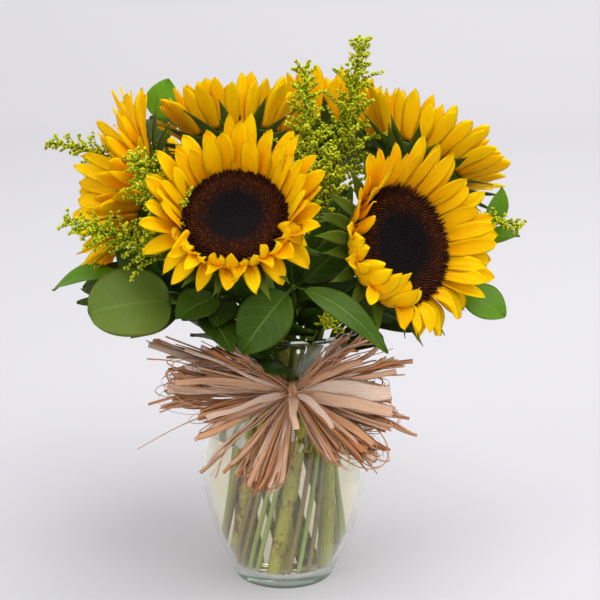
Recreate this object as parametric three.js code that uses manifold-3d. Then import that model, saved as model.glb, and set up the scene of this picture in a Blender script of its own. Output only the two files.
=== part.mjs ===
// Sunflowers, goldenrod and lemon leaf in a clear glass vase of water, with a raffia bow round its neck.
// Millimetres, +Z up. The origin is the middle of the vase's foot. The viewer stands on the -Y side.
import * as THREE from "three";
import { mergeVertices } from "three/addons/utils/BufferGeometryUtils.js";
import Module from "manifold-3d";

const wasm = await Module();
wasm.setup();

// Driving dimensions
const GAP = 0.3; // left between pieces that rest on each other
const VASE_HEIGHT = 209;
const NECK_HEIGHT = 162;
const NECK_RADIUS = 38.3;
const BELLY_RADIUS = 65.2;
const FOOT_RADIUS = 39.5;
const WALL = 3.6;
const FLOOR = 9; // the glass under the water
const WATER_LEVEL = 119;
const STEM_RADIUS = 5.5; // of a sunflower
const TWIG_RADIUS = 1.7; // of goldenrod and lemon leaf
const PETAL_LENGTH = 47; // where a flower doesn't name its own
const PETAL_HALF_WIDTH = 7.6;
const PETAL_COUNT = 22; // in two rows
const PETAL_OUTLINE = [0.4, 1.15, 0.95, 0]; // shares of that half width from root to tip
const BRACT_COUNT = 9;
const BRACT_HALF_WIDTH = 6;
const KEEL = 0.9; // depth of a petal or bract at its middle
const BLADE = 0.5; // half the thickness of a leaf at its midrib
const RAFFIA_THICKNESS = 1.2;
const ROUND = 20; // sides of the vase, its water and the raffia band

// Where stems stand: the ring they pass at the neck, and the ring of their feet, turned back by a twist.
// The feet are lifted off the floor, so that slanting ends clear it and the rounded corner beside it.
const MIDDLE = { neck: 0, foot: 0, lift: 1.7 };
const THICK_RING = { neck: 25.5, foot: 31, lift: 1.7 };
const TWIG_RING = { neck: 30.3, foot: 37, lift: 4.5 };
const TWIST = 56;

const vector = (x, y, z) => new THREE.Vector3(x, y, z);
const Z = vector(0, 0, 1);
const SIDEWAYS = vector(0.3, 1, 0.2); // a way that no stem runs along
const radians = THREE.MathUtils.degToRad;

// A fixed draw from 0 to 1 for each number, the same on every run
function draw(n) {
  const s = Math.sin(n * 127.1 + 311.7) * 43758.5453;
  return s - Math.floor(s);
}
const between = (low, high, n) => low + (high - low) * draw(n);

// The way that azimuth and elevation point. Azimuth 0 is towards the viewer and 90 to the viewer's right.
function facing(azimuth, elevation) {
  const a = radians(azimuth);
  const e = radians(elevation);
  return vector(Math.sin(a) * Math.cos(e), -Math.cos(a) * Math.cos(e), Math.sin(e));
}

// Materials

function matter(color, roughness, more = {}) {
  return new THREE.MeshStandardMaterial({ color, roughness, metalness: 0, ...more });
}
const GLASS = matter(0xdfeeea, 0.05, { transparent: true, opacity: 0.3 });
const WATER = matter(0xe6efe4, 0.05, { transparent: true, opacity: 0.25 });
const PETAL = matter(0xf7b500, 0.6);
const DISC = matter(0x26110a, 0.85);
const SEPAL = matter(0x5c7d2e, 0.65);
const LEAF = matter(0x2f5f22, 0.45);
const GOLDENROD = matter(0x9fae22, 0.75);
const RAFFIA = matter(0xb98d6b, 0.7);

// Solids

function solid(geometry) {
  const bare = geometry.clone();
  bare.deleteAttribute("normal");
  bare.deleteAttribute("uv");
  const merged = mergeVertices(bare, 1e-4);
  return new wasm.Manifold(
    new wasm.Mesh({
      numProp: 3,
      vertProperties: new Float32Array(merged.attributes.position.array),
      triVerts: new Uint32Array(merged.index.array),
    }),
  );
}

function fuse(geometries) {
  return geometries.map(solid).reduce((whole, piece) => whole.add(piece));
}

// The largest body of a solid, so that no loose scrap stays
function mainBody(made) {
  return made.decompose().reduce((a, b) => (b.volume() > a.volume() ? b : a));
}

function meshOf(made, name, material) {
  const { vertProperties, triVerts } = mainBody(made).getMesh();
  const geometry = new THREE.BufferGeometry();
  geometry.setAttribute("position", new THREE.BufferAttribute(new Float32Array(vertProperties), 3));
  geometry.setIndex(new THREE.BufferAttribute(new Uint32Array(triVerts), 1));
  geometry.computeVertexNormals();
  const mesh = new THREE.Mesh(geometry, material);
  mesh.name = name;
  return mesh;
}

// Closes a skin over rings of points. Neighbouring strips are split by opposite diagonals, so both faces of
// a four-sided blade are split alike. The far end closes on a tip point, or flat where there is none.
function skin(rings, tip) {
  const sides = rings[0].length;
  const points = rings.flat();
  const faces = [];
  for (let i = 0; i + 1 < rings.length; i++)
    for (let j = 0; j < sides; j++) {
      const a = i * sides + j;
      const b = i * sides + ((j + 1) % sides);
      const c = a + sides;
      const d = b + sides;
      faces.push(...(j % 2 ? [a, b, c, b, d, c] : [a, b, d, a, d, c]));
    }
  const last = (rings.length - 1) * sides;
  for (let j = 1; j + 1 < sides; j++) faces.push(0, j + 1, j);
  if (tip) {
    points.push(tip);
    for (let j = 0; j < sides; j++) faces.push(last + j, last + ((j + 1) % sides), points.length - 1);
  } else for (let j = 1; j + 1 < sides; j++) faces.push(last, last + j, last + j + 1);
  return new THREE.BufferGeometry().setFromPoints(points).setIndex(faces);
}

// Sweeps a section along points. half(t) gives its half width and half thickness, face is the way that its
// upper side looks, and fold lifts the edges of a blade.
function sweep(points, half, { sides = 8, face = Z, pointed = false, start = 0, fold = 0 } = {}) {
  const rings = points.map((p, i) => {
    const t = i / (points.length - 1);
    const next = points[Math.min(i + 1, points.length - 1)];
    const way = next.clone().sub(points[Math.max(i - 1, 0)]).normalize();
    const normal = face.clone().addScaledVector(way, -face.dot(way)).normalize();
    const side = normal.clone().cross(way);
    const [w, h] = half(t);
    return Array.from({ length: sides }, (_, j) => {
      const a = start + (2 * Math.PI * j) / sides;
      return p
        .clone()
        .addScaledVector(side, w * Math.cos(a))
        .addScaledVector(normal, h * Math.sin(a) + fold * w * Math.abs(Math.cos(a)));
    });
  });
  return pointed ? skin(rings.slice(0, -1), points.at(-1)) : skin(rings);
}

// A stem of even thickness: six-sided, or four-sided where it is a twig
function rod(points, radius, face = SIDEWAYS) {
  return sweep(points, () => [radius, radius], { sides: radius > 2 * TWIG_RADIUS ? 6 : 4, face });
}

// Vase and water

// The vase's outer wall from the foot's edge to the rim, as radius and height
const wallCurve = new THREE.SplineCurve(
  [
    [FOOT_RADIUS, 2.5],
    [45, 15],
    [55, 38],
    [62.4, 67],
    [BELLY_RADIUS, 97],
    [60, 123],
    [46.5, 144],
    [NECK_RADIUS, NECK_HEIGHT],
    [44.5, 182],
    [56, 199],
    [65.5, VASE_HEIGHT - 1.5],
  ].map(([r, z]) => new THREE.Vector2(r, z)),
);
const WALL_STEPS = 11;
const outerWall = wallCurve.getPoints(WALL_STEPS);

// The outer wall moved inwards by a distance, from above the vase's floor up
function wallInside(distance) {
  const moved = outerWall.map((p, i) => {
    const way = wallCurve.getTangent(i / WALL_STEPS);
    return new THREE.Vector2(p.x - way.y * distance, p.y + way.x * distance);
  });
  return moved.filter((p) => p.y > FLOOR + 4);
}

// The radius of a wall at a height
function radiusAt(wall, z) {
  const i = wall.findIndex((p) => p.y >= z);
  if (i < 1) return wall.at(i).x;
  const [a, b] = [wall[i - 1], wall[i]];
  return a.x + ((b.x - a.x) * (z - a.y)) / (b.y - a.y);
}

const turned = (profile, segments) => new THREE.LatheGeometry(profile, segments).rotateX(Math.PI / 2);

function vaseSolid() {
  const inner = wallInside(WALL);
  const profile = [
    new THREE.Vector2(0, 0),
    new THREE.Vector2(FOOT_RADIUS - 3, 0),
    ...outerWall,
    new THREE.Vector2(outerWall.at(-1).x - WALL / 2, VASE_HEIGHT),
    ...inner.toReversed(),
    new THREE.Vector2(inner[0].x - 6, FLOOR + 0.6),
    new THREE.Vector2(0, FLOOR),
  ];
  return solid(turned(profile, ROUND));
}

// The water fills the vase to its level, with a plain hole for each stem
function waterSolid(holes) {
  const inner = wallInside(WALL + GAP);
  const profile = [
    new THREE.Vector2(0, FLOOR + GAP),
    new THREE.Vector2(inner[0].x - 6.3, FLOOR + 0.6 + GAP),
    ...inner.filter((p) => p.y < WATER_LEVEL),
    new THREE.Vector2(radiusAt(inner, WATER_LEVEL), WATER_LEVEL),
    new THREE.Vector2(0, WATER_LEVEL),
  ];
  return holes.reduce((water, hole) => water.subtract(solid(hole)), solid(turned(profile, ROUND)));
}

// Assembly

const bouquet = new THREE.Group();
const placed = []; // every solid so far, in the bouquet's own frame

function place(made, name, material, group = bouquet) {
  group.add(meshOf(made, name, material));
  group.updateMatrixWorld(true);
  placed.push(made.transform(group.matrixWorld.elements));
}

const isClear = (made) => placed.every((other) => other.minGap(made, GAP) >= GAP);

// Stems

const holes = [];

// Where a stem stands in the vase, with its hole in the water
function standing(ring, angle, radius) {
  const spot = (r, degrees, z) => vector(r * Math.cos(radians(degrees)), r * Math.sin(radians(degrees)), z);
  const foot = spot(ring.foot, angle - TWIST, FLOOR + ring.lift);
  const neck = spot(ring.neck, angle, NECK_HEIGHT);
  const way = neck.clone().sub(foot).normalize();
  // The hole runs out through the water's bottom and top
  const hole = [foot.clone().addScaledVector(way, -8), neck.clone().addScaledVector(way, -20)];
  holes.push(rod(hole, radius + 1.5 * GAP));
  return { foot, neck, way };
}

// A stem's way from the neck of the vase to its end, which it meets along a direction
function stemCurve({ neck, way }, end, along, bend) {
  const reach = neck.distanceTo(end) * bend;
  return new THREE.CubicBezierCurve3(
    neck,
    neck.clone().addScaledVector(way, reach),
    end.clone().addScaledVector(along, -reach),
    end,
  );
}

// Sunflowers: where the disc's middle is, the way it faces, its radius, and the stem's angle at the neck.
// Where they differ from the usual: the petals' length, the degrees by which they stand more upright or by
// which those at the head's top and bottom splay out, and a run of old petals, which curl in: the degrees
// round the head at which it starts and ends, and their length.

const SUNFLOWERS = [
  {
    at: [-34, -85, 311], azimuth: -3, elevation: 43, disc: 38, angle: 245,
    petal: 45, upright: 6, old: { start: 203, end: 336, length: 24 },
  },
  {
    at: [87, -68, 285], azimuth: 40, elevation: 20, disc: 44, angle: 312,
    petal: 42, upright: -8, old: { start: 173, end: 264, length: 30 },
  },
  { at: [-119, 5, 311], azimuth: -78, elevation: 16, disc: 38, angle: 182, splay: 25 },
  {
    at: [-36, 50, 345], azimuth: 187, elevation: 60, disc: 38, angle: 0, ring: MIDDLE,
    petal: 40, upright: 4,
  },
  { at: [107, 39, 329], azimuth: 135, elevation: 48, disc: 39, angle: 25, petal: 40 },
  { at: [37, 134, 328], azimuth: 175, elevation: 48, disc: 36, angle: 75, petal: 43 },
  { at: [-64, 124, 270], azimuth: 205, elevation: 14, disc: 38, angle: 125 },
];

const KEELED = { sides: 3, start: Math.PI / 6, pointed: true, fold: 0.1 }; // flat above, ridged below
const RING_BASE = 2.6; // of the disc, above the green head's flat top: the petals' ring lies between
const DISC_TOP = 7.6; // of the disc's middle
const FLORET_RELIEF = 0.9;
const HEAD_DEPTH = 24; // from the flat top down to the stem
const NONE_OLD = { start: 0, end: 0, length: 0 };
const CURL = { from: 80, to: 98 }; // elevations of an old petal's root and tip

// The path of a petal or bract that leaves the head's edge and turns from one elevation to another
function bladePath(angle, radius, height, length, from, to, steps) {
  const out = vector(Math.cos(angle), Math.sin(angle), 0);
  const points = [out.clone().multiplyScalar(radius).setZ(height)];
  for (let i = 0; i < steps; i++) {
    const e = radians(from + ((to - from) * (i + 0.5)) / steps);
    const step = length / steps;
    const way = out.clone().multiplyScalar(Math.cos(e)).addScaledVector(Z, Math.sin(e));
    points.push(points[i].clone().addScaledVector(way, step));
  }
  return points;
}

// The way that the upper face of such a blade looks: inwards and up
function inwards(angle, elevation) {
  const e = radians(elevation);
  return vector(-Math.cos(angle) * Math.sin(e), -Math.sin(angle) * Math.sin(e), Math.cos(e));
}

function petalSolid(flower, seed) {
  const { disc, petal = PETAL_LENGTH, upright = 0, splay = 0, old = NONE_OLD } = flower;
  const ring = [
    [disc - 6, GAP],
    [disc + 3, GAP],
    [disc + 3, RING_BASE - GAP],
    [disc - 6, RING_BASE - GAP],
    [disc - 6, GAP],
  ].map(([r, z]) => new THREE.Vector2(r, z));
  const blades = Array.from({ length: PETAL_COUNT }, (_, k) => {
    const n = seed * 100 + k;
    const outer = k % 2;
    const angle = (2 * Math.PI * (k + between(-0.25, 0.25, n))) / PETAL_COUNT;
    const curled = angle > radians(old.start) && angle < radians(old.end);
    const lift = upright - splay * Math.sin(angle) ** 2;
    const from = curled ? CURL.from : (outer ? 52 : 72) + lift + between(-3, 3, n + 0.1);
    const to = curled ? CURL.to : (outer ? 34 : 50) + lift + between(-8, 8, n + 0.2);
    const length = (curled ? old.length : petal) * between(0.86, 1.08, n + 0.3);
    const wide = PETAL_HALF_WIDTH * between(0.8, 1.1, n + 0.4);
    const points = bladePath(angle, disc + (outer ? 0.4 : -0.8), 1, length, from, to, 3);
    const half = (t) => [wide * PETAL_OUTLINE[Math.round(t * 3)], KEEL];
    return sweep(points, half, { ...KEELED, face: inwards(angle, (from + to) / 2) });
  });
  return fuse([turned(ring, 10), ...blades]);
}

// Relief on the disc: rings of raised florets round a sunken middle
function discSolid(disc) {
  const rings = 4;
  const edge = disc - 3;
  const profile = [new THREE.Vector2(0, RING_BASE), new THREE.Vector2(edge - 1, RING_BASE)];
  for (let i = 0; i <= rings; i++) {
    const r = 1 - i / rings;
    profile.push(new THREE.Vector2(edge * r, DISC_TOP - 0.5 + 3.5 * Math.sin(Math.PI * r ** 1.6)));
  }
  const turns = 12;
  const geometry = new THREE.LatheGeometry(profile, turns);
  const at = geometry.attributes.position;
  for (let i = 0; i < at.count; i++) {
    const r = Math.hypot(at.getX(i), at.getZ(i));
    if (at.getY(i) < RING_BASE + 1 || r < 1 || r > edge - 0.1) continue;
    const turn = Math.round((Math.atan2(at.getX(i), at.getZ(i)) * turns) / (2 * Math.PI));
    const ring = Math.round((r / edge) * rings);
    at.setY(i, at.getY(i) + ((turn + ring) % 2 ? -FLORET_RELIEF : FLORET_RELIEF));
  }
  return solid(geometry.rotateX(Math.PI / 2));
}

// The green head under the petals, with its pointed bracts
function headPieces(disc, seed) {
  const profile = [
    [0, -HEAD_DEPTH - 2],
    [STEM_RADIUS + 0.6, -HEAD_DEPTH - 2],
    [disc * 0.3, -16],
    [disc * 0.75, -8],
    [disc, -2.5],
    [disc - 1, 0],
    [0, 0],
  ].map(([r, z]) => new THREE.Vector2(r, z));
  const bracts = Array.from({ length: BRACT_COUNT }, (_, k) => {
    const n = seed * 100 + 50 + k;
    const angle = (2 * Math.PI * (k + between(-0.15, 0.35, n))) / BRACT_COUNT;
    const from = between(16, 30, n + 0.1);
    const to = from + between(-14, 6, n + 0.3);
    const points = bladePath(angle, disc - 4, -5, between(30, 38, n + 0.2), from, to, 2);
    return sweep(points, () => [BRACT_HALF_WIDTH, KEEL], { ...KEELED, face: inwards(angle, from) });
  });
  return [turned(profile, 10), ...bracts];
}

function sunflower(flower, number) {
  const { at, azimuth, elevation, disc, angle, ring = THICK_RING } = flower;
  const way = facing(azimuth, elevation);
  const across = Z.clone().cross(way).normalize();
  const head = new THREE.Group();
  const turn = new THREE.Matrix4().makeBasis(across, way.clone().cross(across), way);
  head.quaternion.setFromRotationMatrix(turn);
  head.position.set(...at).addScaledVector(way, -DISC_TOP);
  head.updateMatrixWorld(true);
  bouquet.add(head);

  const stand = standing(ring, angle, STEM_RADIUS);
  const curve = stemCurve(stand, head.localToWorld(vector(0, 0, -HEAD_DEPTH)), way, 0.42);
  const path = [stand.foot, ...curve.getPoints(5)].map((p) => head.worldToLocal(p.clone()));
  const face = SIDEWAYS.clone().applyQuaternion(head.quaternion.clone().invert());
  const stem = rod(path, STEM_RADIUS, face);

  const name = `sunflower_${number + 1}`;
  place(fuse([stem, ...headPieces(disc, number + 1)]), `${name}_stem`, SEPAL, head);
  place(petalSolid(flower, number + 1), `${name}_petals`, PETAL, head);
  place(discSolid(disc), `${name}_disc`, DISC, head);
}

// Raffia: a band wound round the neck, and a bow tied in front of it

const BAND = { bottom: 153, top: 174, thickness: 3.2 };
const RIDGE = 0.7; // of the band's wound strands
const KNOT = { at: [7, -49, 167], width: 9, depth: 6.5, height: 12 };

// Ends of the bow's loops and tails, each with its half width, and how far a loop opens or a tail bows
const LOOPS = [
  { to: [-66, -72, 178], wide: 4, open: 17 },
  { to: [-60, -80, 144], wide: 4, open: 15 },
  { to: [68, -76, 172], wide: 4.5, open: 16 },
  { to: [80, -68, 150], wide: 4, open: 15 },
  { to: [56, -84, 128], wide: 4, open: 16 },
  { to: [4, -90, 110], wide: 4, open: 14 },
];
const TAILS = [
  { to: [-99, -52, 201], wide: 1.8, bow: 4 },
  { to: [-108, -62, 128], wide: 1.6, bow: 9 },
  { to: [-92, -74, 166], wide: 2.6, bow: 6 },
  { to: [-46, -86, 108], wide: 3, bow: 5 },
  { to: [-18, -88, 97], wide: 3.6, bow: 4 },
  { to: [34, -88, 104], wide: 3, bow: 5 },
  { to: [74, -78, 112], wide: 3, bow: 6 },
  { to: [102, -52, 138], wide: 2.4, bow: 8 },
  { to: [78, -70, 196], wide: 2.4, bow: 5 },
  { to: [44, -86, 206], wide: 2.6, bow: 4 },
];

function bandSolid() {
  const { bottom, top, thickness } = BAND;
  const offWall = (share, distance) => {
    const z = bottom + (top - bottom) * share;
    return new THREE.Vector2(radiusAt(outerWall, z) + distance, z);
  };
  const profile = [
    ...[1, 0.5, 0].map((share) => offWall(share, GAP)),
    ...[0, 0.25, 0.5, 0.75, 1].map((share, k) => offWall(share, thickness + (k % 2 ? RIDGE : -RIDGE))),
  ];
  return solid(turned([...profile, profile[0]], ROUND));
}

// Moves a point of the bow out in front of the vase's wall
function offVase(p) {
  const least = radiusAt(outerWall, Math.min(Math.max(p.z, 5), VASE_HEIGHT - 1.5)) + BAND.thickness + 2.5;
  const r = Math.hypot(p.x, p.y);
  return r < least ? p.multiply(vector(least / r, least / r, 1)) : p;
}

function bowSolid() {
  const { at, width, depth, height } = KNOT;
  const knotAt = vector(...at);
  const knot = new THREE.SphereGeometry(1, 7, 5).scale(width, depth, height).translate(...at);
  const looks = vector(0, -1, 0.35);
  const ribbon = (curve, wide, steps) => {
    const points = curve.getPoints(steps).map(offVase);
    return sweep(points, () => [wide, RAFFIA_THICKNESS / 2], { sides: 4, face: looks });
  };
  const loops = LOOPS.map(({ to, wide, open }) => {
    const way = vector(...to).sub(knotAt);
    const aside = way.clone().cross(looks).setLength(open);
    const far = knotAt.clone().addScaledVector(way, 1.33);
    const near = way.clone().setLength(4);
    const start = knotAt.clone().add(near).add(vector(0, 0, 2));
    const end = knotAt.clone().add(near).add(vector(0, -1, -2));
    const round = new THREE.CubicBezierCurve3(start, far.clone().add(aside), far.clone().sub(aside), end);
    return ribbon(round, wide, 6);
  });
  const tails = TAILS.map(({ to, wide, bow }) => {
    const end = vector(...to);
    const start = knotAt.clone().add(end.clone().sub(knotAt).setLength(5));
    const middle = start.clone().lerp(end, 0.5).add(vector(0, -bow, bow));
    return ribbon(new THREE.QuadraticBezierCurve3(start, middle, end), wide, 4);
  });
  return fuse([knot, ...loops, ...tails]);
}

// Goldenrod: the tip, the way it points there, the stem's angle at the neck, and the length of its plume

const GOLDENRODS = [
  { at: [58, 20, 421], azimuth: 150, elevation: 80, angle: 46, plume: 135, branches: 9 },
  { at: [16, 0, 402], azimuth: 200, elevation: 76, angle: 57, plume: 110, branches: 7 },
  { at: [32, -46, 350], azimuth: 20, elevation: 80, angle: 284, plume: 90, branches: 6 },
  { at: [-186, 80, 333], azimuth: -103, elevation: 4, angle: 148, plume: 60, branches: 4 },
  { at: [-104, -80, 352], azimuth: -50, elevation: 64, angle: 208.5, plume: 95, branches: 7 },
  { at: [-154, -78, 305], azimuth: -80, elevation: 16, angle: 218, plume: 85, branches: 7 },
  { at: [178, -14, 287], azimuth: 85, elevation: -14, angle: 342, plume: 40, branches: 4 },
  { at: [38, -97, 243], azimuth: 8, elevation: 26, angle: 294, plume: 45, branches: 4 },
  { at: [-10, 168, 322], azimuth: 182, elevation: 40, angle: 100, plume: 70, branches: 4 },
];

const SHORTEST_BRANCHLET = 11;
const FLOWER_HEADS = 3; // on a branchlet
const FLOWER_HEAD_RADIUS = 2.3;
const BRANCHLET_RADIUS = 0.8;

// A branchlet that arches away from the stem, thick at each flower head and thin between them
function branchlet(from, axis, turn, length) {
  const side = axis.clone().cross(SIDEWAYS).normalize().applyAxisAngle(axis, turn);
  const steps = 2 * FLOWER_HEADS;
  const points = [from.clone()];
  for (let i = 1; i <= steps; i++) {
    const off = radians(30 + (30 * i) / steps);
    const way = axis.clone().multiplyScalar(Math.cos(off)).addScaledVector(side, Math.sin(off));
    points.push(points.at(-1).clone().addScaledVector(way, length / steps));
  }
  const half = (t) => Array(2).fill(Math.round(t * steps) % 2 ? FLOWER_HEAD_RADIUS : BRANCHLET_RADIUS);
  return sweep(points, half, { sides: 3, pointed: true, face: side.clone().cross(axis) });
}

function goldenrod({ at, azimuth, elevation, angle, plume, branches }, number) {
  const stand = standing(TWIG_RING, angle, TWIG_RADIUS);
  const curve = stemCurve(stand, vector(...at), facing(azimuth, elevation), 0.4);
  const taper = (t) => Math.min(TWIG_RADIUS, 0.8 + 3 * (1 - t));
  const path = [stand.foot, ...curve.getPoints(6)];
  const stem = sweep(path, (t) => [taper(t), taper(t)], { sides: 4, face: SIDEWAYS });
  const whole = curve.getLength();
  const branchlets = Array.from({ length: branches }, (_, k) => {
    const up = k / branches;
    const u = 1 - (plume * (1 - up)) / whole;
    const length = Math.max(SHORTEST_BRANCHLET, 0.36 * plume * (1 - 0.75 * up));
    // Turned about the stem until it is clear of everything already placed
    for (const turn of [0, 35, -35, 70, -70, 110, -110, 150, -150]) {
      const around = radians(137.5 * k + 60 * number + turn);
      const made = branchlet(curve.getPointAt(u), curve.getTangentAt(u), around, length);
      if (isClear(solid(made))) return made;
    }
    return null;
  });
  place(fuse([stem, ...branchlets.filter(Boolean)]), `goldenrod_${number + 1}`, GOLDENROD);
}

// Lemon leaf: the stem's end, the way it points there and its angle at the neck. Each leaf grows from a
// share of the way along the stem to its tip. It has a half width, a way that its face looks, and an arch.

const LEMON_LEAVES = [
  {
    at: [-82, -70, 243], azimuth: -60, elevation: 10, angle: 228,
    leaves: [
      { from: 1, tip: [-142, -80, 238], wide: 28, looks: [-8, 42], arch: 4 },
      { from: 0.9, tip: [-152, -58, 238], wide: 10, looks: [-40, 50], arch: 3 },
      { from: 0.86, tip: [-113, -53, 210], wide: 10, looks: [23, 50], arch: 5 },
      { from: 0.78, tip: [-35, -119, 219], wide: 12, looks: [-1, 59], arch: 4 },
    ],
  },
  {
    at: [-120, -52, 257], azimuth: -75, elevation: 12, angle: 199,
    leaves: [
      { from: 0.97, tip: [-173, -29, 240], wide: 12, looks: [-60, 60], arch: 9 },
      { from: 0.38, tip: [-87, -35, 262], wide: 17, looks: [-14, 11], arch: 4 },
      { from: 0.84, tip: [-152, -18, 239], wide: 15, looks: [-10, 45], arch: 7 },
    ],
  },
  {
    at: [8, -98, 262], azimuth: 0, elevation: 10, angle: 273,
    leaves: [
      { from: 1, tip: [72, -124, 220], wide: 12, looks: [10, 45], arch: 13 },
      { from: 0.98, tip: [-22, -104, 211], wide: 19, looks: [-15, 20], arch: 6 },
      { from: 0.82, tip: [57, -49, 294], wide: 13, looks: [48, 23], arch: 3 },
      { from: 0.4, tip: [59, -36, 251], wide: 16, looks: [33, 27], arch: 3 },
    ],
  },
  {
    at: [-45, -70, 246], azimuth: -30, elevation: 10, angle: 262,
    leaves: [
      { from: 1, tip: [-76, -92, 236], wide: 15, looks: [0, 60], arch: 5 },
      { from: 0.9, tip: [-50, -98, 232], wide: 12, looks: [5, 50], arch: 4 },
    ],
  },
  {
    at: [132, -28, 237], azimuth: 70, elevation: 8, angle: 331,
    leaves: [{ from: 1, tip: [166, -38, 222], wide: 16, looks: [20, 50], arch: 5 }],
  },
  {
    at: [150, 16, 272], azimuth: 80, elevation: 40, angle: 354,
    leaves: [
      { from: 1, tip: [167, 18, 310], wide: 12, looks: [50, 10], arch: 5 },
      { from: 0.94, tip: [181, 4, 274], wide: 10, looks: [20, 60], arch: 4 },
      { from: 0.38, tip: [102, -14, 204], wide: 14, looks: [-18, 45], arch: 7 },
    ],
  },
  {
    at: [-98, 98, 345], azimuth: -160, elevation: 70, angle: 162,
    leaves: [
      { from: 1, tip: [-94, 106, 380], wide: 14, looks: [-20, 10], arch: 4 },
      { from: 0.92, tip: [-111, 123, 344], wide: 15, looks: [11, 34], arch: 8 },
    ],
  },
  {
    at: [10, 108, 268], azimuth: 175, elevation: 30, angle: 92,
    leaves: [
      { from: 1, tip: [30, 150, 262], wide: 17, looks: [170, 60], arch: 8 },
      { from: 0.85, tip: [-18, 128, 240], wide: 15, looks: [200, 50], arch: 7 },
      { from: 0.98, tip: [53, 160, 250], wide: 16, looks: [49, 21], arch: 3 },
    ],
  },
];

// Half the width of a leaf along its length, as a share of its widest: a short stalk, then a broad oval
function leafOutline(t) {
  const stalk = 0.12;
  if (t < stalk) return 0.08;
  return Math.sin(Math.PI * ((t - stalk) / (1 - stalk)) ** 0.8) ** 0.75 + 0.06;
}

function leafBlade(from, { tip, wide, looks, arch }) {
  const face = facing(...looks);
  const end = vector(...tip);
  const middle = from.clone().lerp(end, 0.5).addScaledVector(face, 2 * arch);
  const points = new THREE.QuadraticBezierCurve3(from, middle, end).getPoints(6);
  const half = (t) => [wide * leafOutline(t), BLADE];
  return sweep(points, half, { sides: 4, pointed: true, fold: 0.12, face });
}

function lemonLeaf({ at, azimuth, elevation, angle, leaves }, number) {
  const stand = standing(TWIG_RING, angle, TWIG_RADIUS);
  const curve = stemCurve(stand, vector(...at), facing(azimuth, elevation), 0.4);
  const stem = rod([stand.foot, ...curve.getPoints(6)], TWIG_RADIUS);
  const blades = leaves.map((leaf) => leafBlade(curve.getPointAt(leaf.from), leaf));
  place(fuse([stem, ...blades]), `lemon_leaf_${number + 1}`, LEAF);
}

place(vaseSolid(), "glass_vase", GLASS);
SUNFLOWERS.forEach(sunflower);
place(bandSolid(), "raffia_band", RAFFIA);
place(bowSolid(), "raffia_bow", RAFFIA);
LEMON_LEAVES.forEach(lemonLeaf);
GOLDENRODS.forEach(goldenrod);
place(waterSolid(holes), "water", WATER);

export default bouquet;
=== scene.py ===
# %% [markdown]
# Sunflowers in a glass vase
#
# A florist's bouquet is a dome of flower heads on a few bent stems. Every stem passes the narrow neck
# of the vase, leans the same way as its neighbours, and stands in water. The packed model already says
# where each stem, head and leaf is. This lesson dresses it: it grows real petals, florets, veins, buds
# and raffia strands on the same lines, and gives each of them a finish.
#
# Shapes are worked out in millimetres, as the model's driving dimensions are, and turned into metres
# when a mesh is made.

import math
import random

import bpy
import numpy as np
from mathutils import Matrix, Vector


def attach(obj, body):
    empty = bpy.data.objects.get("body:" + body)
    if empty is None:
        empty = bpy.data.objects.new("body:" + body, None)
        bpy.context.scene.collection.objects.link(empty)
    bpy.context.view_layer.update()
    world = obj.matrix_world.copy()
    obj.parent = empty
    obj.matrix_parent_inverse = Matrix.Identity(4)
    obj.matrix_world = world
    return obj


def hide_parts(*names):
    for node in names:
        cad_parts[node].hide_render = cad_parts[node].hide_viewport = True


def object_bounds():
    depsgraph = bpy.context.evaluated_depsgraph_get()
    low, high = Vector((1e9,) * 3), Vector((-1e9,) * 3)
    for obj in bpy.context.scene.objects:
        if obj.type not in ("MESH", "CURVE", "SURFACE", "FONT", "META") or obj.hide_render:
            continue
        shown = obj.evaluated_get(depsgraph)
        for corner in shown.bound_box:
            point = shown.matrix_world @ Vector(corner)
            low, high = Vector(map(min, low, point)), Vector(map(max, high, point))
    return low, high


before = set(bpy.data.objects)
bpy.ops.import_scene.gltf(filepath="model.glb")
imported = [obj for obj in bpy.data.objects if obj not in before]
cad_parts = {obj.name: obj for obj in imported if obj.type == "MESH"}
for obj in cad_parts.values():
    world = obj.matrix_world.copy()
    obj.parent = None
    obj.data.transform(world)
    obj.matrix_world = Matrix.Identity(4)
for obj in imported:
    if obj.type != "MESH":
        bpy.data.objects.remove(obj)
cad_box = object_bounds()
rounded_box = [[round(float(v), 3) for v in corner] for corner in cad_box]
print("nodes:", len(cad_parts), "box in metres:", rounded_box)

# %% [markdown]
# Camera
#
# The photograph looks down on the bouquet by 15.5 degrees: that is the tilt at which the rim and the
# foot of the vase show as the ellipses that they do. The ratio between the two ellipses says that the
# camera is about 1.4 m away, so the lens is a long one. A wide lens close by would make the front heads
# look too big.

# %% Place the camera
PITCH = math.radians(15.5)
CAMERA_DISTANCE = 1.4
CAMERA_TARGET = (0.0126, 0.0, 0.225)
LENS, SENSOR_WIDTH = 108.8, 36.0

camera_data = bpy.data.cameras.new("camera")
camera_data.lens = LENS
camera_data.sensor_width = SENSOR_WIDTH
camera = bpy.data.objects.new("camera", camera_data)
camera.location = (
    CAMERA_TARGET[0],
    CAMERA_TARGET[1] - CAMERA_DISTANCE * math.cos(PITCH),
    CAMERA_TARGET[2] + CAMERA_DISTANCE * math.sin(PITCH),
)
camera.rotation_euler = (math.pi / 2 - PITCH, 0.0, 0.0)
bpy.context.collection.objects.link(camera)
bpy.context.scene.camera = camera
print("camera at", [round(v, 3) for v in camera.location])

# %% [markdown]
# Small tools for shapes
#
# Almost everything here is a section that is carried along a line: stems, petals, leaves, raffia.
# Blender can bevel a curve, but a petal's section changes along its length, so the rings of points are
# made in numpy and joined by faces. A chunk is one closed skin with three numbers on every point: how
# far along it is, how far across, and a seed that tells one petal from the next. Materials read those
# numbers.

# %% Vectors
UP = np.array([0.0, 0.0, 1.0])
SIDEWAYS = np.array([0.3, 1.0, 0.2])  # a way that no stem runs along


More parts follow.
